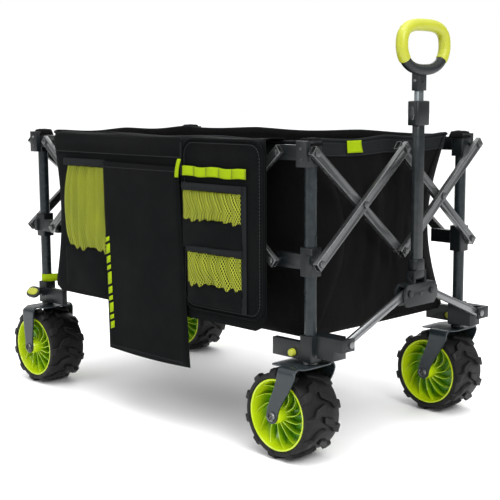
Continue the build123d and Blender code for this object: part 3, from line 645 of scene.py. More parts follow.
def screw_heads(name, spots, radius, height, body):
    """Screw heads at (point, direction) pairs."""
    mesh = bpy.data.meshes.new(name)
    mesh.from_pydata([p for p, _ in spots], [], [])
    aim_data = mesh.attributes.new("aim", "FLOAT_VECTOR", "POINT").data
    for item, (_, direction) in zip(aim_data, spots):
        item.vector = direction
    obj = put(bpy.data.objects.new(name, mesh))
    heads = grow(obj, screws, Radius=radius, Height=height, Finish=FINISH["bolt"])
    return mount(crease(heads), body, "black_plastic")


def seam(name, lines, pitch=0.007, length=0.0045, radius=0.0007):
    """Stitches along polylines, as one mesh."""
    curve = bpy.data.curves.new(name + "_line", "CURVE")
    curve.dimensions = "3D"
    for line in lines:
        spline = curve.splines.new("POLY")
        spline.points.add(len(line) - 1)
        for point, spot in zip(spline.points, line):
            point.co = (*spot, 1)
    obj = put(bpy.data.objects.new(name, curve))
    return grow(obj, stitches, Pitch=pitch, Length=length, Radius=radius, Finish=FINISH["thread"])


print("trees:", round_wheel.name, screws.name, stitches.name)

# %% [markdown]
# ## Bars, posts and brackets
# The scissor bars are drawn rectangular tube, so their edges are rounded and their faces flat. The
# round posts keep their CAD mesh and only get the paint. The brackets are moulded: soft edges, a
# coarse grain, and a screw head where each one is clamped.

# %% Bars and stay tubes
bars = [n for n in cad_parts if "_bar_" in n]
for node in bars:
    softened(node, node, "bar_steel", width=0.0020)
for side in ("left", "right"):
    softened(f"stay_{side}", f"stay_{side}", "bar_steel", "stay_steel", 0.0008)
print(len(bars), "bars and 2 stay tubes")

# %% Posts and brackets
CORNERS = {"front_left": (1, -1), "front_right": (1, 1), "rear_left": (-1, -1), "rear_right": (-1, 1)}
low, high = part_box("post_front_left")
POST_X, POST_Y = (low.x + high.x) / 2, -(low.y + high.y) / 2
POST_R = (high.x - low.x) / 2
POST_FOOT, POST_HEAD = low.z, high.z

for corner in CORNERS:
    softened(f"top_bracket_{corner}", corner, "black_plastic", width=0.0022)
    softened(f"slider_{corner}", f"slider_{corner}", "black_plastic", width=0.0022)
    softened(f"bottom_bracket_{corner}", corner, "black_plastic", width=0.002)
for corner in ("front_left", "front_right"):
    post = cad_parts[f"post_{corner}"]
    for slot in post.material_slots:
        slot.material = FINISH["post_steel"]
print("posts at", round(POST_X, 3), round(POST_Y, 3), "radius", round(POST_R, 4))

# %% [markdown]
# ## Wheels
# The tyre is a turned carcass with deep tractor lugs: each lug starts down on the side wall, runs
# in over the shoulder, and bends towards the middle. One lug is modelled, and the tree sets a ring
# of them on each side, half a step apart, so the two rows mesh. The rim is a turned dish with
# twelve curved ribs that sweep from the hub to the lip.

# %% One lug and one rib
LUGS = 11
LUG_STATIONS = (  # distance from the middle, lean in degrees, low and high radius, half width in degrees
    (-0.0504, -2.0, 0.078, 0.0825, 5.6),
    (-0.0499, -2.0, 0.080, 0.0900, 6.8),
    (-0.0440, -1.0, 0.084, 0.0945, 7.4),
    (-0.0290, 1.0, 0.085, 0.0950, 6.8),
    (-0.0215, 9.0, 0.085, 0.0950, 7.4),
    (0.0030, 16.0, 0.085, 0.0950, 5.2),
)


def lug_mesh(name, mirror):
    """One lug about the axle, on the near side or mirrored to the far side."""
    loops = []
    for shift, lean, base, top, half in LUG_STATIONS:
        loop = []
        for radius, edge in ((base, -half), (top, -half * 0.72), (top, half * 0.72), (base, half)):
            a = radians(lean + edge)
            loop.append((radius * cos(a), shift * mirror, radius * sin(a)))
        loops.append(loop)
    return round_edges(outward(make(name, *rings(loops, True), "tyre_rubber")), 0.0016, 1)


RIBS = 12
RIB_IN, RIB_OUT = 0.0165, 0.0700  # radii of a rib's ends
RIB_FLOOR = 0.013  # distance of the dish's floor from the middle of the wheel
RIB_HALF = 0.0016  # half the thickness of a rib
RIB_SWEEP = 46  # degrees from the hub to the lip
RIB_STEPS = 9


def rib_mesh(name, mirror):
    """One curved rib from the hub to the lip, taller at the hub."""
    loops = []
    for t in [i / RIB_STEPS for i in range(RIB_STEPS + 1)]:
        radius = RIB_IN + (RIB_OUT - RIB_IN) * t
        sweep = radians(RIB_SWEEP) * t**1.5 * mirror
        crest = 0.036 - 0.010 * sin(pi * t) + 0.004 * t
        across = RIB_HALF / radius
        loop = []
        for shift, side in ((RIB_FLOOR, -1.25), (crest, -0.8), (crest, 0.8), (RIB_FLOOR, 1.25)):
            a = sweep + side * across
            loop.append((radius * cos(a), -shift * mirror, radius * sin(a)))
        loops.append(loop)
    obj = round_edges(outward(make(name, *rings(loops, True), "lime_rim")), 0.0008, 1)
    mark_recess_shade(obj, Vector((0, 0, 0)))
    return obj


def mark_recess_shade(obj, centre):
    """Writes how far below the lip each point of the rim lies, from 0 at the lip to 1 on the floor; it is the
    mask of the rim's painted shade.
    """
    recess_shade = obj.data.attributes.new("recess_shade", "FLOAT", "POINT").data
    for item, vertex in zip(recess_shade, obj.data.vertices):
        spot = vertex.co - centre
        inside = min(1.0, max(0.0, (0.040 - abs(spot.y)) / 0.026))
        radius = hypot(spot.x, spot.z)
        item.value = inside * min(1.0, max(0.0, (0.074 - radius) / 0.012))
    return obj


# %% Carcass, lugs, dish and ribs for every wheel
CARCASS = [
    (0.0752, -0.046), (0.0775, -0.0492), (0.0815, -0.0497), (0.0855, -0.0480), (0.0874, -0.043),
    (0.0880, -0.030), (0.0884, 0.0),
    (0.0880, 0.030), (0.0874, 0.043), (0.0855, 0.0480), (0.0815, 0.0497), (0.0775, 0.0492), (0.0752, 0.046),
]
DISH_HALF = [
    (0.0753, 0.0460), (0.0748, 0.0478), (0.0728, 0.0484), (0.0712, 0.0474), (0.0700, 0.0440),
    (0.0680, 0.0330), (0.0640, 0.0200), (0.0560, 0.0125), (0.0300, 0.0120), (0.0200, 0.0150),
    (0.0172, 0.0220), (0.0165, 0.0540), (0.0150, 0.0570), (0.0062, 0.0570),
]
DISH = DISH_HALF + [(r, -y) for r, y in reversed(DISH_HALF)]


def join(name, pieces):
    """Joins pieces into the first one and names it."""
    shape = bmesh.new()
    materials = []
    for piece in pieces:
        for slot in piece.data.materials:
            if slot not in materials:
                materials.append(slot)
    for piece in pieces:
        before = len(shape.faces)
        shape.from_mesh(piece.data)
        shape.faces.ensure_lookup_table()
        for face in shape.faces[before:]:
            face.material_index = materials.index(piece.data.materials[face.material_index])
    mesh = bpy.data.meshes.new(name)
    shape.to_mesh(mesh)
    shape.free()
    for material in materials:
        mesh.materials.append(material)
    for piece in pieces:
        bpy.data.objects.remove(piece)
    return put(bpy.data.objects.new(name, mesh))


for corner in CORNERS:
    low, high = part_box(f"tyre_{corner}")
    centre = (low + high) / 2
    treads = [
        grow(
            lug_mesh(f"lugs_{corner}", mirror), round_wheel, Count=LUGS, Centre=centre,
            Finish=FINISH["tyre_rubber"], **{"First angle": start},
        )
        for mirror, start in ((1, 0.0), (-1, pi / LUGS))
    ]
    carcass = turned(f"carcass_{corner}", CARCASS, centre, "tyre_rubber", 72)
    tyre = join(f"tyre_tread_{corner}", [carcass] + treads)
    mount(crease(tyre, 32), f"wheel_{corner}", "tyre_rubber", f"tyre_{corner}")
    ribs = [
        grow(
            rib_mesh(f"ribs_{corner}", mirror), round_wheel, Count=RIBS, Centre=centre,
            Finish=FINISH["lime_rim"], **{"First angle": 0.1},
        )
        for mirror in (1, -1)
    ]
    dish = mark_recess_shade(turned(f"dish_{corner}", DISH, centre, "lime_rim", 72), centre)
    rim = join(f"rim_dish_{corner}", [dish] + ribs)
    mount(crease(rim, 35), f"wheel_{corner}", "lime_rim", f"rim_{corner}")
print("4 wheels of", 2 * LUGS, "lugs; a tyre has", len(tyre.data.polygons), "faces")

# %% [markdown]
# ## Forks
# Each fork is one pressed steel strip: it comes up one side of the wheel, bends over into the
# crown, and goes down the other side. Its outline flows from the narrow foot round the axle into
# the wide crown, so it is made as a strip of stations along that path, each with a back and a front
# edge, and then given the thickness of the sheet. The crown's rear edge dips to follow the tyre.

# %% Pressed forks
SHEET = 0.0032  # thickness of the steel
LEG_Y = 0.0605  # from the middle of the wheel to the middle of a leg's sheet
BEND = 0.013  # radius where a leg turns into the crown
CROWN_Z = 0.2005
FOOT = 0.0150  # radius of the round foot
CROWN_ROUND, CROWN_DROOP = 0.024, 0.006  # corner of the crown from above, and the dip of its rear edge
# back and front edge of the leg, then of the crown, from the post's axis
FRONT_FORK, REAR_FORK = (-0.034, 0.013, -0.080, 0.024), (-0.024, 0.024, -0.046, 0.046)
# turned parts as (radius, distance)
RACE = [
    (0.0050, 0.2018), (0.0135, 0.2018), (0.0150, 0.2035), (0.0150, 0.2060), (0.0128, 0.2086), (0.0050, 0.2086),
]
NUT = [
    (0.0001, 0.0), (0.0095, 0.0), (0.0102, 0.0012), (0.0088, 0.0046), (0.0060, 0.0052), (0.0055, 0.0030),
    (0.0001, 0.0030),
]
AXLE = [(0.0001, -LEG_Y), (0.0049, -LEG_Y), (0.0049, LEG_Y), (0.0001, LEG_Y)]


def fork_strip(name, hub, leg_back, leg_front, crown_back, crown_front, y0):
    """A pressed fork about a wheel centre hub, its leg and its crown given by their edges along X."""
    stations = []
    for i in range(7):  # round foot below the axle
        t = pi / 2 * i / 6
        stations.append((-LEG_Y, hub.z - FOOT * cos(t), hub.x - FOOT * sin(t), hub.x + FOOT * sin(t)))
    top = CROWN_Z - BEND
    for i in range(1, 13):
        t = i / 12
        flow = t * t * (3 - 2 * t)
        back = hub.x - FOOT + (leg_back - hub.x + FOOT) * (0.35 * t + 0.65 * flow)
        front = hub.x + FOOT + (leg_front - hub.x - FOOT) * (0.35 * t + 0.65 * flow)
        stations.append((-LEG_Y, hub.z + (top - hub.z) * t, back, front))
    for i in range(1, 7):
        t = i / 6
        a = pi / 2 * t
        stations.append((-LEG_Y + BEND * (1 - cos(a)), top + BEND * sin(a), leg_back, leg_front))
    for i in range(1, 9):  # rounded corner of the crown, seen from above
        t = i / 8
        flow = sqrt(1 - (1 - t) ** 2)
        stations.append(
            (
                -LEG_Y + BEND + CROWN_ROUND * t, CROWN_Z,
                leg_back + (crown_back - leg_back) * flow, leg_front + (crown_front - leg_front) * flow,
            )
        )
    half = stations[:]
    stations += [(0.0, CROWN_Z, crown_back, crown_front)]
    stations += [(-y, z, back, front) for y, z, back, front in reversed(half)]
    columns = 9
    points = []
    for y, z, back, front in stations:
        for k in range(columns):
            t = k / (columns - 1)
            x = back + (front - back) * t
            raised = max(0.0, (z - top) / BEND)
            behind = max(0.0, (hub.x + 0.02 - x) / 0.05)
            points.append((x, y0 + y, z - CROWN_DROOP * raised * min(1.0, behind**2)))
    faces = quads(len(stations), columns)
    obj = outward(make(name, points, faces, "fork_steel"))
    normal = obj.data.polygons[len(faces) // 2].normal
    if normal.z < 0:
        obj.data.flip_normals()
    wall = obj.modifiers.new("sheet", "SOLIDIFY")
    wall.thickness, wall.offset = SHEET, 0.0
    return round_edges(obj, 0.0009, 2, 50)


def lathe_z(name, profile, x, y, finish):
    """A part turned round an upright axis."""
    return turned(name, profile, (x, y, 0), finish, 40, upright=True)


for corner, (sx, sy) in CORNERS.items():
    low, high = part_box(f"tyre_{corner}")
    hub = (low + high) / 2
    post_x, post_y = sx * POST_X, sy * POST_Y
    node = f"caster_fork_{corner}" if sx > 0 else f"post_{corner}"
    body = node if sx > 0 else corner
    edges = [post_x + edge for edge in (FRONT_FORK if sx > 0 else REAR_FORK)]
    fork = fork_strip(f"fork_{corner}", hub, *edges, post_y)
    mount(fork, body, "fork_steel", node)
    mount(lathe_z(f"race_{corner}", RACE, post_x, post_y, "bolt"), body, "fork_steel", node)
    for side, word in ((-1, "left"), (1, "right")):
        seat = (hub.x, post_y + side * (LEG_Y + SHEET / 2), hub.z)
        nut = turned(f"axle_nut_{corner}_{word}", [(r, side * d) for r, d in NUT], seat, "bolt", 28)
        mount(nut, body, "fork_steel", node)
    axle = turned(f"axle_{corner}", AXLE, (hub.x, post_y, hub.z), "bolt", 24)
    mount(axle, body, "fork_steel", node)
    if sx < 0:
        tube = [
            (POST_R - 0.0015, POST_FOOT), (POST_R, POST_FOOT),
            (POST_R, POST_HEAD), (POST_R - 0.0015, POST_HEAD),
        ]
        mount(lathe_z(f"post_tube_{corner}", tube, post_x, post_y, "post_steel"), corner, "post_steel", node)
print("forks done; axle at", round(hub.z, 3))

# %% [markdown]
# ## Locks
# A lime push button stops each front fork from swivelling, and an oval lime pedal in a dark frame
# brakes each rear wheel. Both keep the place and size of their CAD nodes.


# %% Buttons and pedals
PEDAL_Y, PEDAL_Z, PEDAL_TILT = 0.2945, 0.2385, radians(50)


def oval(centre, width, depth, tilt, lift, steps=36):
    """A flat oval loop, tipped about X, at a height above its own plane."""
    loop = []
    for i in range(steps):
        a = 2 * pi * i / steps
        x = abs(cos(a)) ** 0.75 * copysign(width / 2, cos(a))
        y = abs(sin(a)) ** 0.85 * copysign(depth / 2, sin(a))
        loop.append(Vector((x, y * cos(tilt) - lift * sin(tilt), y * sin(tilt) + lift * cos(tilt))) + centre)
    return loop


for corner, (sx, sy) in CORNERS.items():
    if sx > 0:
        node = f"caster_lock_{corner}"
        low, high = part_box(node)
        middle, radius = (low + high) / 2, (high.z - low.z) / 2
        inner, outer = (low.y, high.y) if sy > 0 else (high.y, low.y)
        span = outer - inner
        profile = [
            (0.0001, 0), (radius, 0), (radius, span * 0.82),
            (radius * 0.86, span * 0.97), (radius * 0.5, span), (0.0001, span),
        ]
        button = turned(node + "_button", profile, (middle.x, inner, middle.z), "lime_plastic", 32)
        mount(button, node, "lime_plastic", node)
        continue
    node = f"brake_pedal_{corner}"
    low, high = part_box(node)
    reach = sorted((sy * 0.20, sy * 0.2875))
    stalk_box = ((low.x - 0.01, reach[0], 0.2), (high.x + 0.01, reach[1], 0.3))
    softened(node, node, "lime_plastic", "black_plastic", 0.0012, stalk_box, node + "_stalk")
    middle = Vector(((low.x + high.x) / 2, sy * PEDAL_Y, PEDAL_Z))
    tilt = -sy * PEDAL_TILT
    for word, finish, sizes in (
        ("frame", "black_plastic",
         ((50, 30, -4.5), (52, 32, -3.0), (52, 32, 1.0), (50, 30, 2.6), (44, 24, 2.6))),
        ("pad", "lime_plastic", ((40, 19, 1.8), (41, 20, 3.0), (40, 19, 4.6), (36, 15, 5.4), (24, 6, 5.8))),
    ):
        loops = [oval(middle, w / 1000, d / 1000, tilt, lift / 1000) for w, d, lift in sizes]
        mount(moulded(f"{node}_{word}", loops, finish, 40), node, "lime_plastic", node)
print("locks done")

# %% [markdown]
# ## Handle
# Two stay tubes meet in an eight-sided hub, where the handle tilts on a pin. Its outer tube is
# nearly flat-sided, a moulded collar clamps the slimmer tube that slides inside it, and a ferrule
# carries the grip. The grip is a closed ring of soft lime on a black lower half: a tube swept round
# a rounded loop, cut where the two colours meet.

# %% Hub, tubes and collar
softened("handle_hub", "handle_hub", "black_plastic", width=0.0022)
hub_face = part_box("handle_hub")[1].x
grip_low, grip_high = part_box("handle_grip")
tube_low, tube_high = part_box("handle_outer_tube")
HANDLE_X = (tube_low.x + tube_high.x) / 2


def octagon(depth, width, cut):
    """A rectangle with cut corners, round (0, 0)."""
    a, b = depth / 2, width / 2
    return [
        (a, -b + cut), (a, b - cut), (a - cut, b), (-a + cut, b),
        (-a, b - cut), (-a, -b + cut), (-a + cut, -b), (a - cut, -b),
    ]


axis = (HANDLE_X, 0)
outer_tube = beam("handle_tube", octagon(0.0185, 0.029, 0.0055), 0.386, 0.720, axis, "handle_steel")
mount(outer_tube, "handle_outer", "handle_steel", "handle_outer_tube")
softened(
    "handle_outer_tube", "handle_outer", "handle_steel", "black_plastic", 0.0012,
    ((0.0, -0.1, 0.3), (1.0, 0.1, 0.3805)), "handle_foot",
)
for name, section, low, high, width in (
    ("handle_sleeve", octagon(0.025, 0.0345, 0.006), 0.374, 0.396, 0.0016),
    ("handle_collar", octagon(0.028, 0.044, 0.004), 0.676, 0.726, 0.002),
    ("collar_lip", octagon(0.022, 0.034, 0.004), 0.7245, 0.7265, 0.0008),
):
    ring = beam(name, section, low, high, axis, "black_plastic", width)
    mount(ring, "handle_outer", "black_plastic", "handle_outer_tube")
key_loops = [
    [
        (HANDLE_X + abs(sin(a)) ** 0.7 * copysign(0.0062, sin(a)) * s, y, 0.701 + 0.0145 * cos(a) * s)
        for a in [2 * pi * i / 28 for i in range(28)]
    ]
    for y, s in ((-0.0218, 1.0), (-0.0236, 0.96), (-0.0240, 0.8))
]
key = round_edges(outward(make("collar_key", *rings(key_loops, True), "bolt")), 0.0004, 1, 60)
mount(key, "handle_outer", "black_plastic", "handle_outer_tube")
inner_tube = beam("handle_inner", octagon(0.012, 0.022, 0.003), 0.420, 0.748, axis, "inner_steel", 0.0006)
mount(inner_tube, "handle_inner", "handle_steel", "handle_inner_tube")
print("handle from", round(tube_low.z, 3), "to", round(grip_high.z, 3))

# %% Grip
GRIP_R = 0.0125
RING_X = grip_high.x - GRIP_R
RING_W = (grip_high.y - grip_low.y) / 2 - GRIP_R
RING_TOP = grip_high.z - GRIP_R
RING_BOTTOM = 0.777 + GRIP_R
SPLIT_Z = 0.809


def ring_path(steps=160):
    """The middle line of the grip: a rounded loop that narrows a little towards the ferrule."""
    path = []
    mid, half = (RING_TOP + RING_BOTTOM) / 2, (RING_TOP - RING_BOTTOM) / 2
    for i in range(steps):
        a = 2 * pi * i / steps
        power = 0.66 if sin(a) > 0 else 0.80
        y = copysign(abs(cos(a)) ** power, cos(a)) * RING_W
        z = mid + copysign(abs(sin(a)) ** power, sin(a)) * half
        y *= 1 - 0.10 * max(0.0, (mid - z) / half)
        path.append(Vector((RING_X, y, z)))
    return path


def sweep(name, path, radius_of, finish):
    """A round tube along a path in the plane of the grip."""
    loops = []
    last = len(path) - 1
    for i, spot in enumerate(path):
        tangent = (path[min(i + 1, last)] - path[max(i - 1, 0)]).normalized()
        side = Vector((1, 0, 0))
        loops.append(circle(spot, side, tangent.cross(side).normalized(), radius_of(i, last), 28))
    return moulded(name, loops, finish, 50)


path = ring_path()
upper = [p for p in path if p.z > SPLIT_Z]
start = next(i for i in range(len(upper)) if (upper[i] - upper[i - 1]).length > 0.02)
upper = upper[start:] + upper[:start]
lower = [p for p in path if p.z <= SPLIT_Z + 0.004]
start = next((i for i in range(len(lower)) if (lower[i] - lower[i - 1]).length > 0.02), 0)
lower = lower[start:] + lower[:start]


def soft_radius(i, last):
    """Full radius, drawn in at the ends, with a shallow groove at each parting line."""
    parting = any(abs(i - (last + 1) * share) < 1 for share in (0.27, 0.73))
    return GRIP_R - (0.0012 if i in (0, last) else 0.0) - (0.0007 if parting else 0.0)


def hard_radius(i, last):
    """A slightly slimmer tube than the soft half."""
    return GRIP_R - 0.0014


mount(sweep("grip_soft", upper, soft_radius, "lime_plastic"), "handle_inner", "lime_plastic", "handle_grip")
mount(sweep("grip_base", lower, hard_radius, "black_plastic"), "handle_inner", "black_plastic", "handle_grip")
ferrule = beam("grip_ferrule", octagon(0.022, 0.029, 0.004), 0.747, 0.790, axis, "black_plastic", 0.0014)
mount(ferrule, "handle_inner", "black_plastic", "handle_grip")
print("grip ring", round(2 * (RING_W + GRIP_R), 3), "m wide")

# %% Screws
handle_spots = [((HANDLE_X + 0.011, 0.0, 0.763), (1, 0, 0)), ((HANDLE_X, -0.0145, 0.768), (0, -1, 0))]
screw_heads("ferrule_screws", handle_spots, 0.0035, 0.0016, "handle_inner")
screw_heads("hub_screws", [((hub_face - 0.0022, 0.0, 0.3235), (1, 0, 0))], 0.0038, 0.0016, "handle_hub")
for corner, (sx, sy) in CORNERS.items():
    face_x, face_y = sx * (POST_X + 0.016), sy * (POST_Y + 0.028)
    high_spots = [((sx * POST_X, face_y, z), (0, sy, 0)) for z in (0.614, 0.637)]
    low_spots = [((face_x, sy * POST_Y, 0.221), (sx, 0, 0))]
    screw_heads(f"bracket_screws_{corner}", high_spots + low_spots, 0.0036, 0.0018, corner)
print("screws set")

# %% [markdown]
# ## Cloth
# Every sheet is a grid of points in rows. Its flat cut is measured on that grid and becomes its UV
# map, in metres, so the weave has its true size however the sheet hangs. The sheet then gets the
# thickness of its cloth. When the frame folds, the real cloth crumples between the posts; here each
# sheet only gets its own copy of its mesh, and nothing flattens it.


def run(points):
    """Running distance along a row of points."""
    total, out = 0.0, [0.0]
    for a, b in zip(points, points[1:]):
        total += (b - a).length
        out.append(total)
    return out


def cloth(name, rows, finish, outside, thick=0.0022):
    """A sheet through rows of points, its face towards outside, with its flat cut as its UV map."""
    columns = len(rows[0])
    points = [Vector(p) for row in rows for p in row]
    rows = [points[i * columns:(i + 1) * columns] for i in range(len(rows))]
    obj = make(name, points, quads(len(rows), columns), finish)
    mesh = obj.data
    if sum(p.normal.dot(Vector(outside)) * p.area for p in mesh.polygons) < 0:
        mesh.flip_normals()
    across = [run(row) for row in rows]
    down = [run([row[k] for row in rows]) for k in range(columns)]
    middle = len(rows) // 2
    flat = mesh.uv_layers.new(name="cut").data
    for loop in mesh.loops:
        r, k = divmod(loop.vertex_index, columns)
        flat[loop.index].uv = (across[middle][k], down[columns // 2][r])
    width, length = max(a[-1] for a in across), max(d[-1] for d in down)
    area = sum(p.area for p in mesh.polygons)
    obj["cut"] = [width, length, max(min(area, width * length), 0.31 * width * length)]
    wall = obj.modifiers.new("cloth", "SOLIDIFY")
    wall.thickness, wall.offset = thick, -1.0
    return settle(obj)


CUTS = {}


def hang(obj, body, slot, nodes, squash=None):
    """Mounts a sheet, records its width and length in CUTS, and gives it its own mesh when squash is X or Y.
    """
    width, length, area = obj["cut"]
    del obj["cut"]
    mount(obj, body, slot, *nodes)
    CUTS[obj.name] = (round(width, 3), round(length, 3))
    crumple(obj, squash)
    return obj


def crumple(obj, along):
    """Gives a piece its own copy of its mesh when along is X or Y; it does not flatten the piece."""
    if along == "X":
        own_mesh(obj)
    elif along:
        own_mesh(obj)


# %% [markdown]
# ## The tub
# The tub is four slack walls and a floor, hung from the top brackets. Its corners are tied to the
# posts only at the top and the bottom, so half way up the cloth draws away from them in a long
# hollow curve. In plan that is a corner whose radius grows towards mid height. The side walls carry
# those round corners, and the end walls tuck in behind them.

# %% Shape of a wall
TUB_X, TUB_Y = POST_X - 0.021, POST_Y - 0.017
TUB_LOW, TUB_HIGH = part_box("tub")[0].z, 0.6505
ROWS, ARC, STRAIGHT = 30, 9, 64


def corner_radius(t):
    """Radius of the tub's corners in plan at a share of its height."""
    return 0.020 + 0.092 * sin(pi * min(1.0, max(0.0, t))) ** 1.15


def slack(s, t, seed):
    """How far the cloth stands in or out at a share s of its length and t of its height."""
    free = sin(pi * t) ** 0.6 * sin(pi * s) ** 0.5
    folds = noise.noise(Vector((s * 7, t * 2.2, seed))) * 0.011
    small = noise.noise(Vector((s * 21 + t * 5, t * 7, seed + 9))) * 0.0035
    return free * (0.006 + folds + small)


def rim_drop(s, bays):
    """The rim sags a little between the pins that it hangs from."""
    return 0.0055 * abs(sin(pi * s * bays)) ** 1.5


def turn_in(t):
    """The foot of a wall turns in to meet the floor."""
    return 0.010 * max(0.0, 1 - t / 0.035) ** 2


def side_wall(sy, lift=0.0, low=0.0, high=1.0, rows=ROWS):
    """Rows of points of a long wall with both of its corners, from its foot to its rim."""
    grid = []
    for i in range(rows + 1):
        t = low + (high - low) * i / rows
        r = corner_radius(t)
        row = []
        count = 2 * ARC + STRAIGHT
        for k in range(count + 1):
            s = k / count
            z = TUB_LOW + (TUB_HIGH - TUB_LOW - rim_drop(s, 3) * t**6) * t
            inset = turn_in(t) - lift
            if k < ARC:
                a = pi / 2 * (1 - k / ARC)
                x, y = -TUB_X + r - (r - inset) * sin(a), TUB_Y - r + (r - inset) * cos(a)
            elif k > ARC + STRAIGHT:
                a = pi / 2 * (k - ARC - STRAIGHT) / ARC
                x, y = TUB_X - r + (r - inset) * sin(a), TUB_Y - r + (r - inset) * cos(a)
            else:
                u = (k - ARC) / STRAIGHT
                x = -TUB_X + r + (2 * TUB_X - 2 * r) * u
                y = TUB_Y - inset + slack(u, t, 3.0 * sy)
            row.append((x, sy * y, z))
        grid.append(row)
    return grid


def end_wall(sx, lift=0.0, low=0.0, high=1.0, rows=ROWS):
    """Rows of points of a short wall, its ends tucked in behind the round corners."""
    grid = []
    for i in range(rows + 1):
        t = low + (high - low) * i / rows
        r = corner_radius(t)
        row = []
        tuck, span = 4, 40
        for k in range(span + 2 * tuck + 1):
            u = (k - tuck) / span
            z = TUB_LOW + (TUB_HIGH - TUB_LOW - rim_drop(min(1, max(0, u)), 2) * t**6) * t
            inset = turn_in(t) - lift + 0.0032
            if 0 <= u <= 1:
                y = (-TUB_Y + r) + (2 * TUB_Y - 2 * r) * u
                x = TUB_X - inset + slack(u, t, 7.0 + sx) + 0.0032 * sin(pi * u)
            else:
                a = pi / 5 * ((-u if u < 0 else u - 1) * span / tuck)
                side = -1 if u < 0 else 1
                y = side * (TUB_Y - r + (r - inset) * sin(a))
                x = TUB_X - r + (r - inset) * cos(a)
            row.append((sx * x, y, z))
        grid.append(row)
    return grid


# %% Walls, hems and rim cord
def cord_along(name, points, radius, finish, sides=8):
    """A thin round binding along a row of points."""
    points = [Vector(p) for p in points]
    loops = []
    for i, spot in enumerate(points):
        tangent = (points[min(i + 1, len(points) - 1)] - points[max(i - 1, 0)]).normalized()
        up = Vector((0, 0, 1)) if abs(tangent.z) < 0.9 else Vector((0, 1, 0))
        side = tangent.cross(up).normalized()
        up = side.cross(tangent)
        loops.append(circle(spot, side, up, radius, sides))
    return moulded(name, loops, finish, 60)


WALLS = (
    ("left", side_wall, -1, "front_left", "X", (0, -1, 0)),
    ("right", side_wall, 1, "front_right", "X", (0, 1, 0)),
    ("front", end_wall, 1, "front_left", "Y", (1, 0, 0)),
    ("rear", end_wall, -1, "rear_left", "Y", (-1, 0, 0)),
)
HEM_LOW = 0.915
for word, wall, sign, body, along, outside in WALLS:
    rim = wall(sign, 0.0020, HEM_LOW, 1.0, 5)
    hem = cloth(f"tub_hem_{word}", rim, "black_webbing", outside, 0.0018)
    edge = [(x, y, z + 0.0012) for x, y, z in rim[-1]]
    binding = cord_along(f"tub_binding_{word}", edge, 0.0030, "black_webbing")
    mount(binding, body, "black_fabric", "tub")
    rows_of_stitch = [
        [Vector(p) + Vector(outside) * 0.0004 for p in wall(sign, 0.0022, share, 1.0, 1)[0]]
        for share in (0.922, 0.985)
    ]
    thread_line = mount(seam(f"tub_stitches_{word}", rows_of_stitch), body, "black_fabric", "tub")
    panel = cloth(f"tub_wall_{word}", wall(sign), "black_fabric", outside)
    hang(panel, body, "black_fabric", ["tub"], along)
    hang(hem, body, "black_fabric", ["tub"], along)
    crumple(binding, along)
    crumple(thread_line, along)
print("tub walls:", {k: v for k, v in CUTS.items() if "wall" in k})

# %% Floor, corner caps, tag and strap
FLOOR_INSET = 0.013  # from the walls
for word, sy in (("left", -1), ("right", 1)):
    rows = lattice(8, 40, lambda u, v: (
        (2 * u - 1) * (TUB_X - FLOOR_INSET), sy * (0.0008 + (TUB_Y - FLOOR_INSET) * v),
        TUB_LOW + 0.0022 - 0.0015 * sin(pi * v) * sin(pi * u),
    ))
    ground = cloth(f"tub_floor_{word}", rows, "black_fabric", (0, 0, -1))
    hang(ground, f"floor_pad_{word}", "black_fabric", ["tub"], "X")

CAP_HALF, CAP_TOP = 0.0205, 0.6572


def cap_point(u, v, sx, sy):
    """A point of a corner cap, with u and v from -1 to 1; its edges turn down and its corners draw in."""
    reach = max(abs(u), abs(v))
    bow = 1 - 0.10 * (u * v) ** 2
    z = CAP_TOP - 0.0035 * reach**2 - 0.012 * max(0.0, reach - 0.72) / 0.28
    z += 0.0012 * noise.noise(Vector((u * 2 + sx, v * 2 + sy, 4)))
    return (sx * POST_X + u * CAP_HALF * bow - sx * 0.002, sy * POST_Y + v * CAP_HALF * bow - sy * 0.002, z)


for corner, (sx, sy) in CORNERS.items():
    rows = lattice(14, 14, lambda u, v: cap_point(2 * v - 1, 2 * u - 1, sx, sy))
    cap = cloth(f"corner_cap_{corner}", rows, "black_fabric", (0, 0, 1), 0.0016)
    hang(cap, corner, "black_fabric", ["tub"])

TAG_Y, TAG_Z = (-0.126, -0.081), (0.621, 0.646)
front_face = TUB_X + 0.0062
rows = lattice(6, 10, lambda u, v: (
    front_face + 0.0035 * (1 - v) ** 2 * (0.4 + u), TAG_Y[0] + (TAG_Y[1] - TAG_Y[0]) * u,
    TAG_Z[0] + (TAG_Z[1] - TAG_Z[0]) * v,
))
tag = cloth("blank_tag", rows, "lime_webbing", (1, 0, 0), 0.0009)
hang(tag, "front_left", "lime_plastic", ["tub"], "Y")

STRAP_LOW, STRAP_HIGH = 0.2625, 0.2815
for corner, (sx, sy) in CORNERS.items():
    if sx > 0:
        continue
    ring = []
    for z in (STRAP_LOW, (STRAP_LOW + STRAP_HIGH) / 2, STRAP_HIGH):
        row = []
        for i in range(25):
            a = radians(40 + 280 * i / 24)
            row.append((
                sx * POST_X - sx * (POST_R + 0.0012) * cos(a), sy * POST_Y + (POST_R + 0.0012) * sin(a), z
            ))
        first, last = Vector(row[0]), Vector(row[-1])
        anchor = Vector((sx * (TUB_X - 0.014), sy * (TUB_Y - 0.006), z + 0.002))
        row = [first.lerp(anchor, t) for t in (1.0, 0.66, 0.33)] + row
        row += [last.lerp(anchor + Vector((0, sy * 0.004, 0)), t) for t in (0.33, 0.66, 1.0)]
        ring.append(row)
    strap = cloth(f"post_strap_{corner}", ring, "lime_webbing", (0, sy, 0), 0.0014)
    hang(strap, corner, "lime_plastic", ["tub"])
print("floor, caps, tag and straps done")

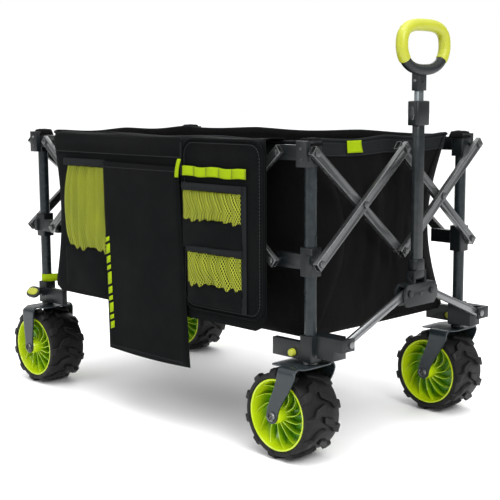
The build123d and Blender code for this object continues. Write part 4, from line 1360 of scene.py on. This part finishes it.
# %% [markdown]
# ## The organiser
# The organiser is one long panel that is folded over the rim and hangs outside the scissors. On it
# lie a band along the top, a net pocket at the rear, a long padded flap in the middle, and at the
# front a raised panel with two more pockets, a row of webbing loops and a zip pull. Each layer is
# a sheet of its own, a few millimetres in front of the last.

# %% Back panel
ORG_LOW, ORG_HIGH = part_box("organiser")
FACE_Y = -0.3020
ORG_REAR, ORG_FRONT = ORG_LOW.x, ORG_HIGH.x
ORG_FOOT = 0.262


def rounded_span(low, high, z, bottom, top, radius_low, radius_high):
    """Left and right ends of a row at height z, drawn in at rounded corners."""
    drawn = 0.0
    if z < bottom + radius_low:
        d = radius_low - (z - bottom)
        drawn = radius_low - sqrt(max(0.0, radius_low**2 - d * d))
    if z > top - radius_high:
        d = radius_high - (top - z)
        drawn = radius_high - sqrt(max(0.0, radius_high**2 - d * d))
    return low + drawn, high - drawn


rows = []
path_down = [  # (y, z) over the rim, then straight down the face
    (-0.2345, 0.6525), (-0.246, 0.6545), (-0.262, 0.6552),
    (-0.280, 0.6550), (-0.291, 0.6530), (-0.2985, 0.6470),
]
path_down += [(FACE_Y, 0.640 - (0.640 - ORG_FOOT) * i / 34) for i in range(35)]
for y, z in path_down:
    rear, front = rounded_span(ORG_REAR + 0.006, ORG_FRONT, min(z, 0.652), ORG_FOOT, 0.655, 0.03, 0.022)
    share = max(0.0, min(1.0, (0.65 - z) / 0.39))
    rear += 0.026 * sin(pi * share) - 0.010 * share**3
    row = []
    for k in range(61):
        u = k / 60
        x = rear + (front - rear) * u
        wave = 0.0022 * noise.noise(Vector((x * 9, z * 6, 2.0))) * share
        dip = -0.0035 * abs(sin(pi * 3 * u)) * (1 - share) ** 4
        row.append((x, y - 0.001 - abs(wave), z + dip))
    rows.append(row)
back = cloth("organiser_back", rows, "organiser_fabric", (0, -1, 0.2), 0.0024)
hang(back, "front_left", "organiser_fabric", ["organiser"], "X")
print("organiser back", CUTS["organiser_back"])


# %% Panels, pockets and straps
def layer(name, x, z, lift, finish, puff=0.0, gathers=0, radius=0.0, wave=0.0, thick=0.0018, grid=(36, 18),
          seed=1.0, amount=0.0016, swell=0.0):
    """A sheet on the organiser's face between two X and two Z; it puffs out, gathers or waves as told."""

    def point(u, v):
        height = z[0] + (z[1] - z[0]) * v
        low, high = rounded_span(*x, height, *z, radius, radius)
        low -= swell * sin(pi * v) ** 0.8 - 0.4 * swell
        out = puff * sin(pi * u) ** 0.6 * sin(pi * v) ** 0.6
        turns = 2 * pi * gathers * (u + 0.05 * sin(5 * v + seed))
        out += amount * sin(turns) * sin(pi * u) ** 0.3
        out += 0.0022 * noise.noise(Vector((u * 4 + seed, v * 3, seed))) * min(1.0, puff * 300)
        sag = wave * sin(2 * pi * (1.5 * u + 0.13 * seed)) * (1 - v)
        return (low + (high - low) * u, FACE_Y - lift - max(0.0, out), height + sag)

    sheet = cloth(name, lattice(grid[1], grid[0], point), finish, (0, -1, 0), thick)
    return hang(sheet, "front_left", "organiser_fabric", ["organiser"], "X")


NET = {"finish": "lime_net", "thick": 0.0008}
BASE = {"finish": "organiser_fabric"}
HEM = {"finish": "black_webbing", "grid": (30, 4), "thick": 0.0016}
for name, x, z, lift, puff, kind, more in (
    ("organiser_band", (-0.337, 0.146), (0.604, 0.6505), 0.0024, 0.006, BASE,
     {"grid": (60, 10), "radius": 0.018}),
    ("organiser_panel", (0.144, 0.390), (0.284, 0.6505), 0.0030, 0.004, BASE,
     {"grid": (30, 40), "radius": 0.034}),
    ("net_pocket_rear", (-0.288, -0.136), (0.376, 0.577), 0.0030, 0.013, NET,
     {"gathers": 5, "wave": 0.006, "grid": (60, 40), "seed": 2.0, "amount": 0.0042, "swell": 0.022}),
    ("net_pocket_upper", (0.149, 0.327), (0.477, 0.541), 0.0085, 0.009, NET,
     {"gathers": 7, "wave": 0.004, "grid": (70, 20), "seed": 3.0, "amount": 0.0034}),
    ("net_pocket_lower", (0.162, 0.328), (0.338, 0.410), 0.0085, 0.009, NET,
     {"gathers": 6, "wave": 0.005, "grid": (70, 20), "seed": 4.0, "amount": 0.0034}),
    ("pocket_base_rear", (-0.300, -0.130), (0.272, 0.382), 0.0028, 0.009, BASE,
     {"radius": 0.02, "seed": 5.0}),
    ("pocket_base_upper", (0.147, 0.333), (0.416, 0.482), 0.0080, 0.010, BASE, {"seed": 6.0}),
    ("pocket_base_lower", (0.160, 0.333), (0.296, 0.344), 0.0080, 0.008, BASE, {"seed": 7.0}),
    ("net_hem_rear", (-0.298, -0.130), (0.574, 0.593), 0.0050, 0.012, HEM, {}),
    ("net_hem_upper", (0.145, 0.334), (0.540, 0.557), 0.0095, 0.009, HEM, {}),
    ("net_hem_lower", (0.158, 0.333), (0.408, 0.425), 0.0095, 0.009, HEM, {}),
    ("pocket_edge_front", (0.329, 0.343), (0.294, 0.557), 0.0085, 0.0, HEM, {}),
):
    layer(name, x, z, lift, puff=puff, **kind, **more)
loops_z = (0.571, 0.5915)
rows = lattice(4, 80, lambda u, v: (
    0.148 + 0.196 * u, FACE_Y - 0.0095 - 0.0042 * abs(sin(5 * pi * u)) ** 0.8,
    loops_z[0] + (loops_z[1] - loops_z[0]) * v + 0.0012 * sin(2 * pi * 80 * u / 33),
))
loops_strip = cloth("webbing_loops", rows, "lime_webbing", (0, -1, 0), 0.0015)
hang(loops_strip, "front_left", "lime_plastic", ["organiser"], "X")
print("organiser layers:", len([n for n in CUTS if n.startswith(("net", "pocket", "organiser"))]))


# %% Piping, stitches, zip pull
def outline(x, z, y, radius, steps=8):
    """A closed rounded rectangle on the organiser's face."""
    loop = []
    for cx, cz, a0 in (
        (x[1] - radius, z[1] - radius, 0), (x[0] + radius, z[1] - radius, 90),
        (x[0] + radius, z[0] + radius, 180), (x[1] - radius, z[0] + radius, 270),
    ):
        for i in range(steps + 1):
            a = radians(a0 + 90 * i / steps)
            loop.append((cx + radius * cos(a), y, cz + radius * sin(a)))
    return loop + loop[:1]


def soft_trim(obj, slot="organiser_fabric"):
    """A trim piece of the organiser: it rides on the tub's post and gets its own copy of its mesh."""
    mount(obj, "front_left", slot, "organiser")
    crumple(obj, "X")
    return obj


panel_edge = outline((0.145, 0.389), (0.285, 0.6495), FACE_Y - 0.0050, 0.033)
soft_trim(cord_along("panel_piping", panel_edge, 0.0026, "organiser_fabric"))
band_line = [
    (-0.330 + 0.466 * i / 60, FACE_Y - 0.0062 - 0.0050 * sin(pi * i / 60) ** 0.6, 0.6085) for i in range(61)
]
panel_line = outline((0.153, 0.381), (0.293, 0.6415), FACE_Y - 0.0078, 0.027)
loop_bars = [
    [(0.148 + 0.0392 * i, FACE_Y - 0.0116, z) for z in (loops_z[0] + 0.002, loops_z[1] - 0.002)]
    for i in range(6)
]
soft_trim(seam("organiser_stitches", [band_line, panel_line]))
soft_trim(seam("loop_stitches", loop_bars, pitch=0.003, length=0.0024))
pull_rows = lattice(8, 4, lambda u, v: (
    0.1385 + 0.0105 * u - 0.010 * (1 - v), FACE_Y - 0.0145 - 0.002 * sin(pi * v), 0.566 + 0.040 * v
))
pull = cloth("zip_pull", pull_rows, "lime_webbing", (0, -1, 0), 0.0024)
hang(pull, "front_left", "lime_plastic", ["organiser"], "X")
teeth = [(0.1430 + 0.0006 * i / 10, FACE_Y - 0.0085, 0.570 + 0.0078 * i) for i in range(10)]
soft_trim(cord_along("zip_teeth", teeth, 0.0020, "black_webbing"))
print("trims done")

# %% [markdown]
# ## The flap
# The flap is a thin padded panel that hangs from the band to below the tub. Its front and back meet
# in a rounded edge, and its faces are a little fuller in the middle. A column of slanted lime
# dashes, a plain pattern with no meaning, runs up its rear edge.

# %% Padded flap and its dashes
REAR, FRONT, FOOT_Z, TOP_Z, THICK = -0.135, 0.134, 0.151, 0.589, 0.0085
FLAP_ROWS, FLAP_COLUMNS = 40, 30


def flap_rows(side):
    """Rows of one face of the flap; side is 1 for the front face and -1 for the back."""

    def point(u, v):
        x = REAR + (FRONT - REAR) * u + (0.012 + 0.020 * u) * (1 - v)
        edge = min(min(u, 1 - u) * (FRONT - REAR), min(v, 1 - v) * (TOP_Z - FOOT_Z))
        half = THICK / 2 * min(1.0, sqrt(max(0.0, edge) / 0.006)) * (1 + 0.25 * sin(pi * u))
        arch = 0.003 * sin(pi * u) * v + 0.0015 * noise.noise(Vector((u * 3, v * 4, 8)))
        middle = FACE_Y - 0.0085 - arch * (1 if side > 0 else 0.6)
        z = FOOT_Z + (TOP_Z - FOOT_Z) * v - 0.004 * sin(pi * u) * (1 - v) - 0.003 * (u - 0.5) * v
        return Vector((x, middle - side * half, z))

    return lattice(FLAP_ROWS, FLAP_COLUMNS, point)


front_rows, back_rows = flap_rows(1), flap_rows(-1)
points = [p for row in front_rows + back_rows for p in row]
offset = len(points) // 2
faces = []
for face in quads(FLAP_ROWS + 1, FLAP_COLUMNS + 1):
    faces += [face, tuple(offset + i for i in reversed(face))]
flap = outward(make("organiser_flap", points, faces, "organiser_fabric"))
cut = flap.data.uv_layers.new(name="cut").data
for loop in flap.data.loops:
    spot = flap.data.vertices[loop.vertex_index].co
    cut[loop.index].uv = (spot.x - REAR, spot.z - FOOT_Z)
mount(flap, "front_left", "organiser_fabric", "organiser")
crumple(flap, "X")


def on_flap(x, z, lift):
    """A point just in front of the flap's front face."""
    v = min(1.0, max(0.0, (z - FOOT_Z) / (TOP_Z - FOOT_Z)))
    u = min(1.0, max(0.0, (x - 0.014 * (1 - v) - REAR) / (FRONT - REAR)))
    j, k = min(FLAP_ROWS - 1, int(v * FLAP_ROWS)), min(FLAP_COLUMNS - 1, int(u * FLAP_COLUMNS))
    return (x, min(p.y for p in (front_rows[j][k], front_rows[j][k + 1], front_rows[j + 1][k])) - lift, z)


DASHES = (0.016, 0.010, 0.022, 0.010, 0.016, 0.028, 0.010, 0.016, 0.022, 0.010)  # heights from the foot up
DASH_WIDTH, DASH_RISE, DASH_GAP = 0.014, 0.0056, 0.006


def dash(z, height):
    """Corners of one slanted dash."""
    x = -0.1245 + 0.013 * (0.412 - z) / 0.215
    corners = ((0, 0), (DASH_WIDTH, DASH_RISE), (DASH_WIDTH, DASH_RISE + height), (0, height))
    return [on_flap(x + across, z + up, 0.0007) for across, up in corners]


points, faces, z = [], [], 0.198
for height in DASHES:
    faces.append(tuple(range(len(points), len(points) + 4)))
    points += dash(z, height)
    z += height + DASH_GAP
dashes = make("flap_dashes", points, faces, "lime_webbing")
if dashes.data.polygons[0].normal.y > 0:
    dashes.data.flip_normals()
wall = dashes.modifiers.new("print", "SOLIDIFY")
wall.thickness, wall.offset = 0.0006, -1.0
soft_trim(settle(dashes), "lime_plastic")
hem_line = [
    [on_flap(-0.117 + 0.262 * i / 40, 0.160, 0.0003) for i in range(41)],
    [on_flap(-0.129 + 0.252 * i / 40, 0.578, 0.0003) for i in range(41)],
]
soft_trim(seam("flap_stitches", hem_line))
print("flap and", len(dashes.data.polygons) // 6, "dashes")

# %% [markdown]
# ## The floor boards
# Two padded boards lie side by side on the tub's floor and rise as the frame folds. Each is a thin
# filled cushion, so it is blown up by cloth simulation from a flat rounded slab, with its fullness
# capped, and then sewn down along cross channels. The second one is the mirror of the first, so
# one simulation makes both.

# %% Fill a board
BOARD_X, BOARD_IN, BOARD_OUT = 0.436, 0.0025, 0.2255
BOARD_LOW, BOARD_HIGH = 0.2500, 0.2560
CHANNELS = (-0.26, -0.087, 0.087, 0.26)


def slab(name):
    """A flat slab with round corners, ready to be filled."""
    loop = outline((-BOARD_X, BOARD_X), (-BOARD_OUT, -BOARD_IN), 0.0, 0.026, 6)[:-1]
    loops = [[(x, y, z) for x, _, y in loop] for z in (BOARD_LOW, BOARD_HIGH)]
    obj = outward(make(name, *rings(loops, True), "pad_fabric"))
    voxels = obj.modifiers.new("grid", "REMESH")
    voxels.mode, voxels.voxel_size = "VOXEL", 0.0042
    return settle(obj)


def fill(obj, pressure=4.0, frames=14, cap=0.0045):
    """Blows the slab up with a cloth simulation and keeps each point within the cap."""
    rest = [v.co.copy() for v in obj.data.vertices]
    sim = obj.modifiers.new("fill", "CLOTH")
    sim.settings.quality = 4
    sim.settings.use_pressure = True
    sim.settings.uniform_pressure_force = pressure
    sim.settings.effector_weights.gravity = 0
    sim.collision_settings.use_collision = False
    scene = bpy.context.scene
    for number in range(1, frames + 1):
        scene.frame_set(number)
    graph = bpy.context.evaluated_depsgraph_get()
    moved = [v.co.copy() for v in obj.evaluated_get(graph).data.vertices]
    obj.modifiers.clear()
    scene.frame_set(1)
    for vertex, start_spot, end_spot in zip(obj.data.vertices, rest, moved):
        step = end_spot - start_spot
        if step.length > cap:
            step *= cap / step.length
        vertex.co = start_spot + step
    return obj


board = slab("board_left")
fill(board)
for vertex in board.data.vertices:
    spot = vertex.co
    if spot.z > (BOARD_LOW + BOARD_HIGH) / 2:
        near = min(abs(spot.x - c) for c in CHANNELS)
        spot.z -= 0.0035 * exp(-((near / 0.006) ** 2))
    else:
        spot.z = max(spot.z, BOARD_LOW - 0.0006)
    spot.y = min(spot.y, -0.0006)
cut = board.data.uv_layers.new(name="cut").data
for loop in board.data.loops:
    spot = board.data.vertices[loop.vertex_index].co
    cut[loop.index].uv = (spot.x, spot.y)
board.data.shade_smooth()
twin = put(board.copy())
twin.name = "board_right"
twin.data = board.data.copy()
for vertex in twin.data.vertices:
    vertex.co.y = -vertex.co.y
twin.data.flip_normals()
for word, sy, obj in (("left", -1, board), ("right", 1, twin)):
    mount(obj, f"floor_pad_{word}", "pad_fabric", f"floor_pad_{word}")
    crumple(obj, "X")
    top = max(v.co.z for v in obj.data.vertices)
    lines = [[(c, sy * (0.006 + 0.215 * i / 20), BOARD_HIGH - 0.0008) for i in range(21)] for c in CHANNELS]
    thread_line = seam(f"board_stitches_{word}", lines)
    mount(thread_line, f"floor_pad_{word}", "pad_fabric", f"floor_pad_{word}")
    crumple(thread_line, "X")
print("boards filled to", round(top, 4), "m")

# %% [markdown]
# ## Last measures
# The flat cut of every cloth piece is printed. The visual model has to stay in the CAD model's
# box, give or take the little that cloth may stand proud.

# %% Measure and finish
print("cuts:", CUTS)
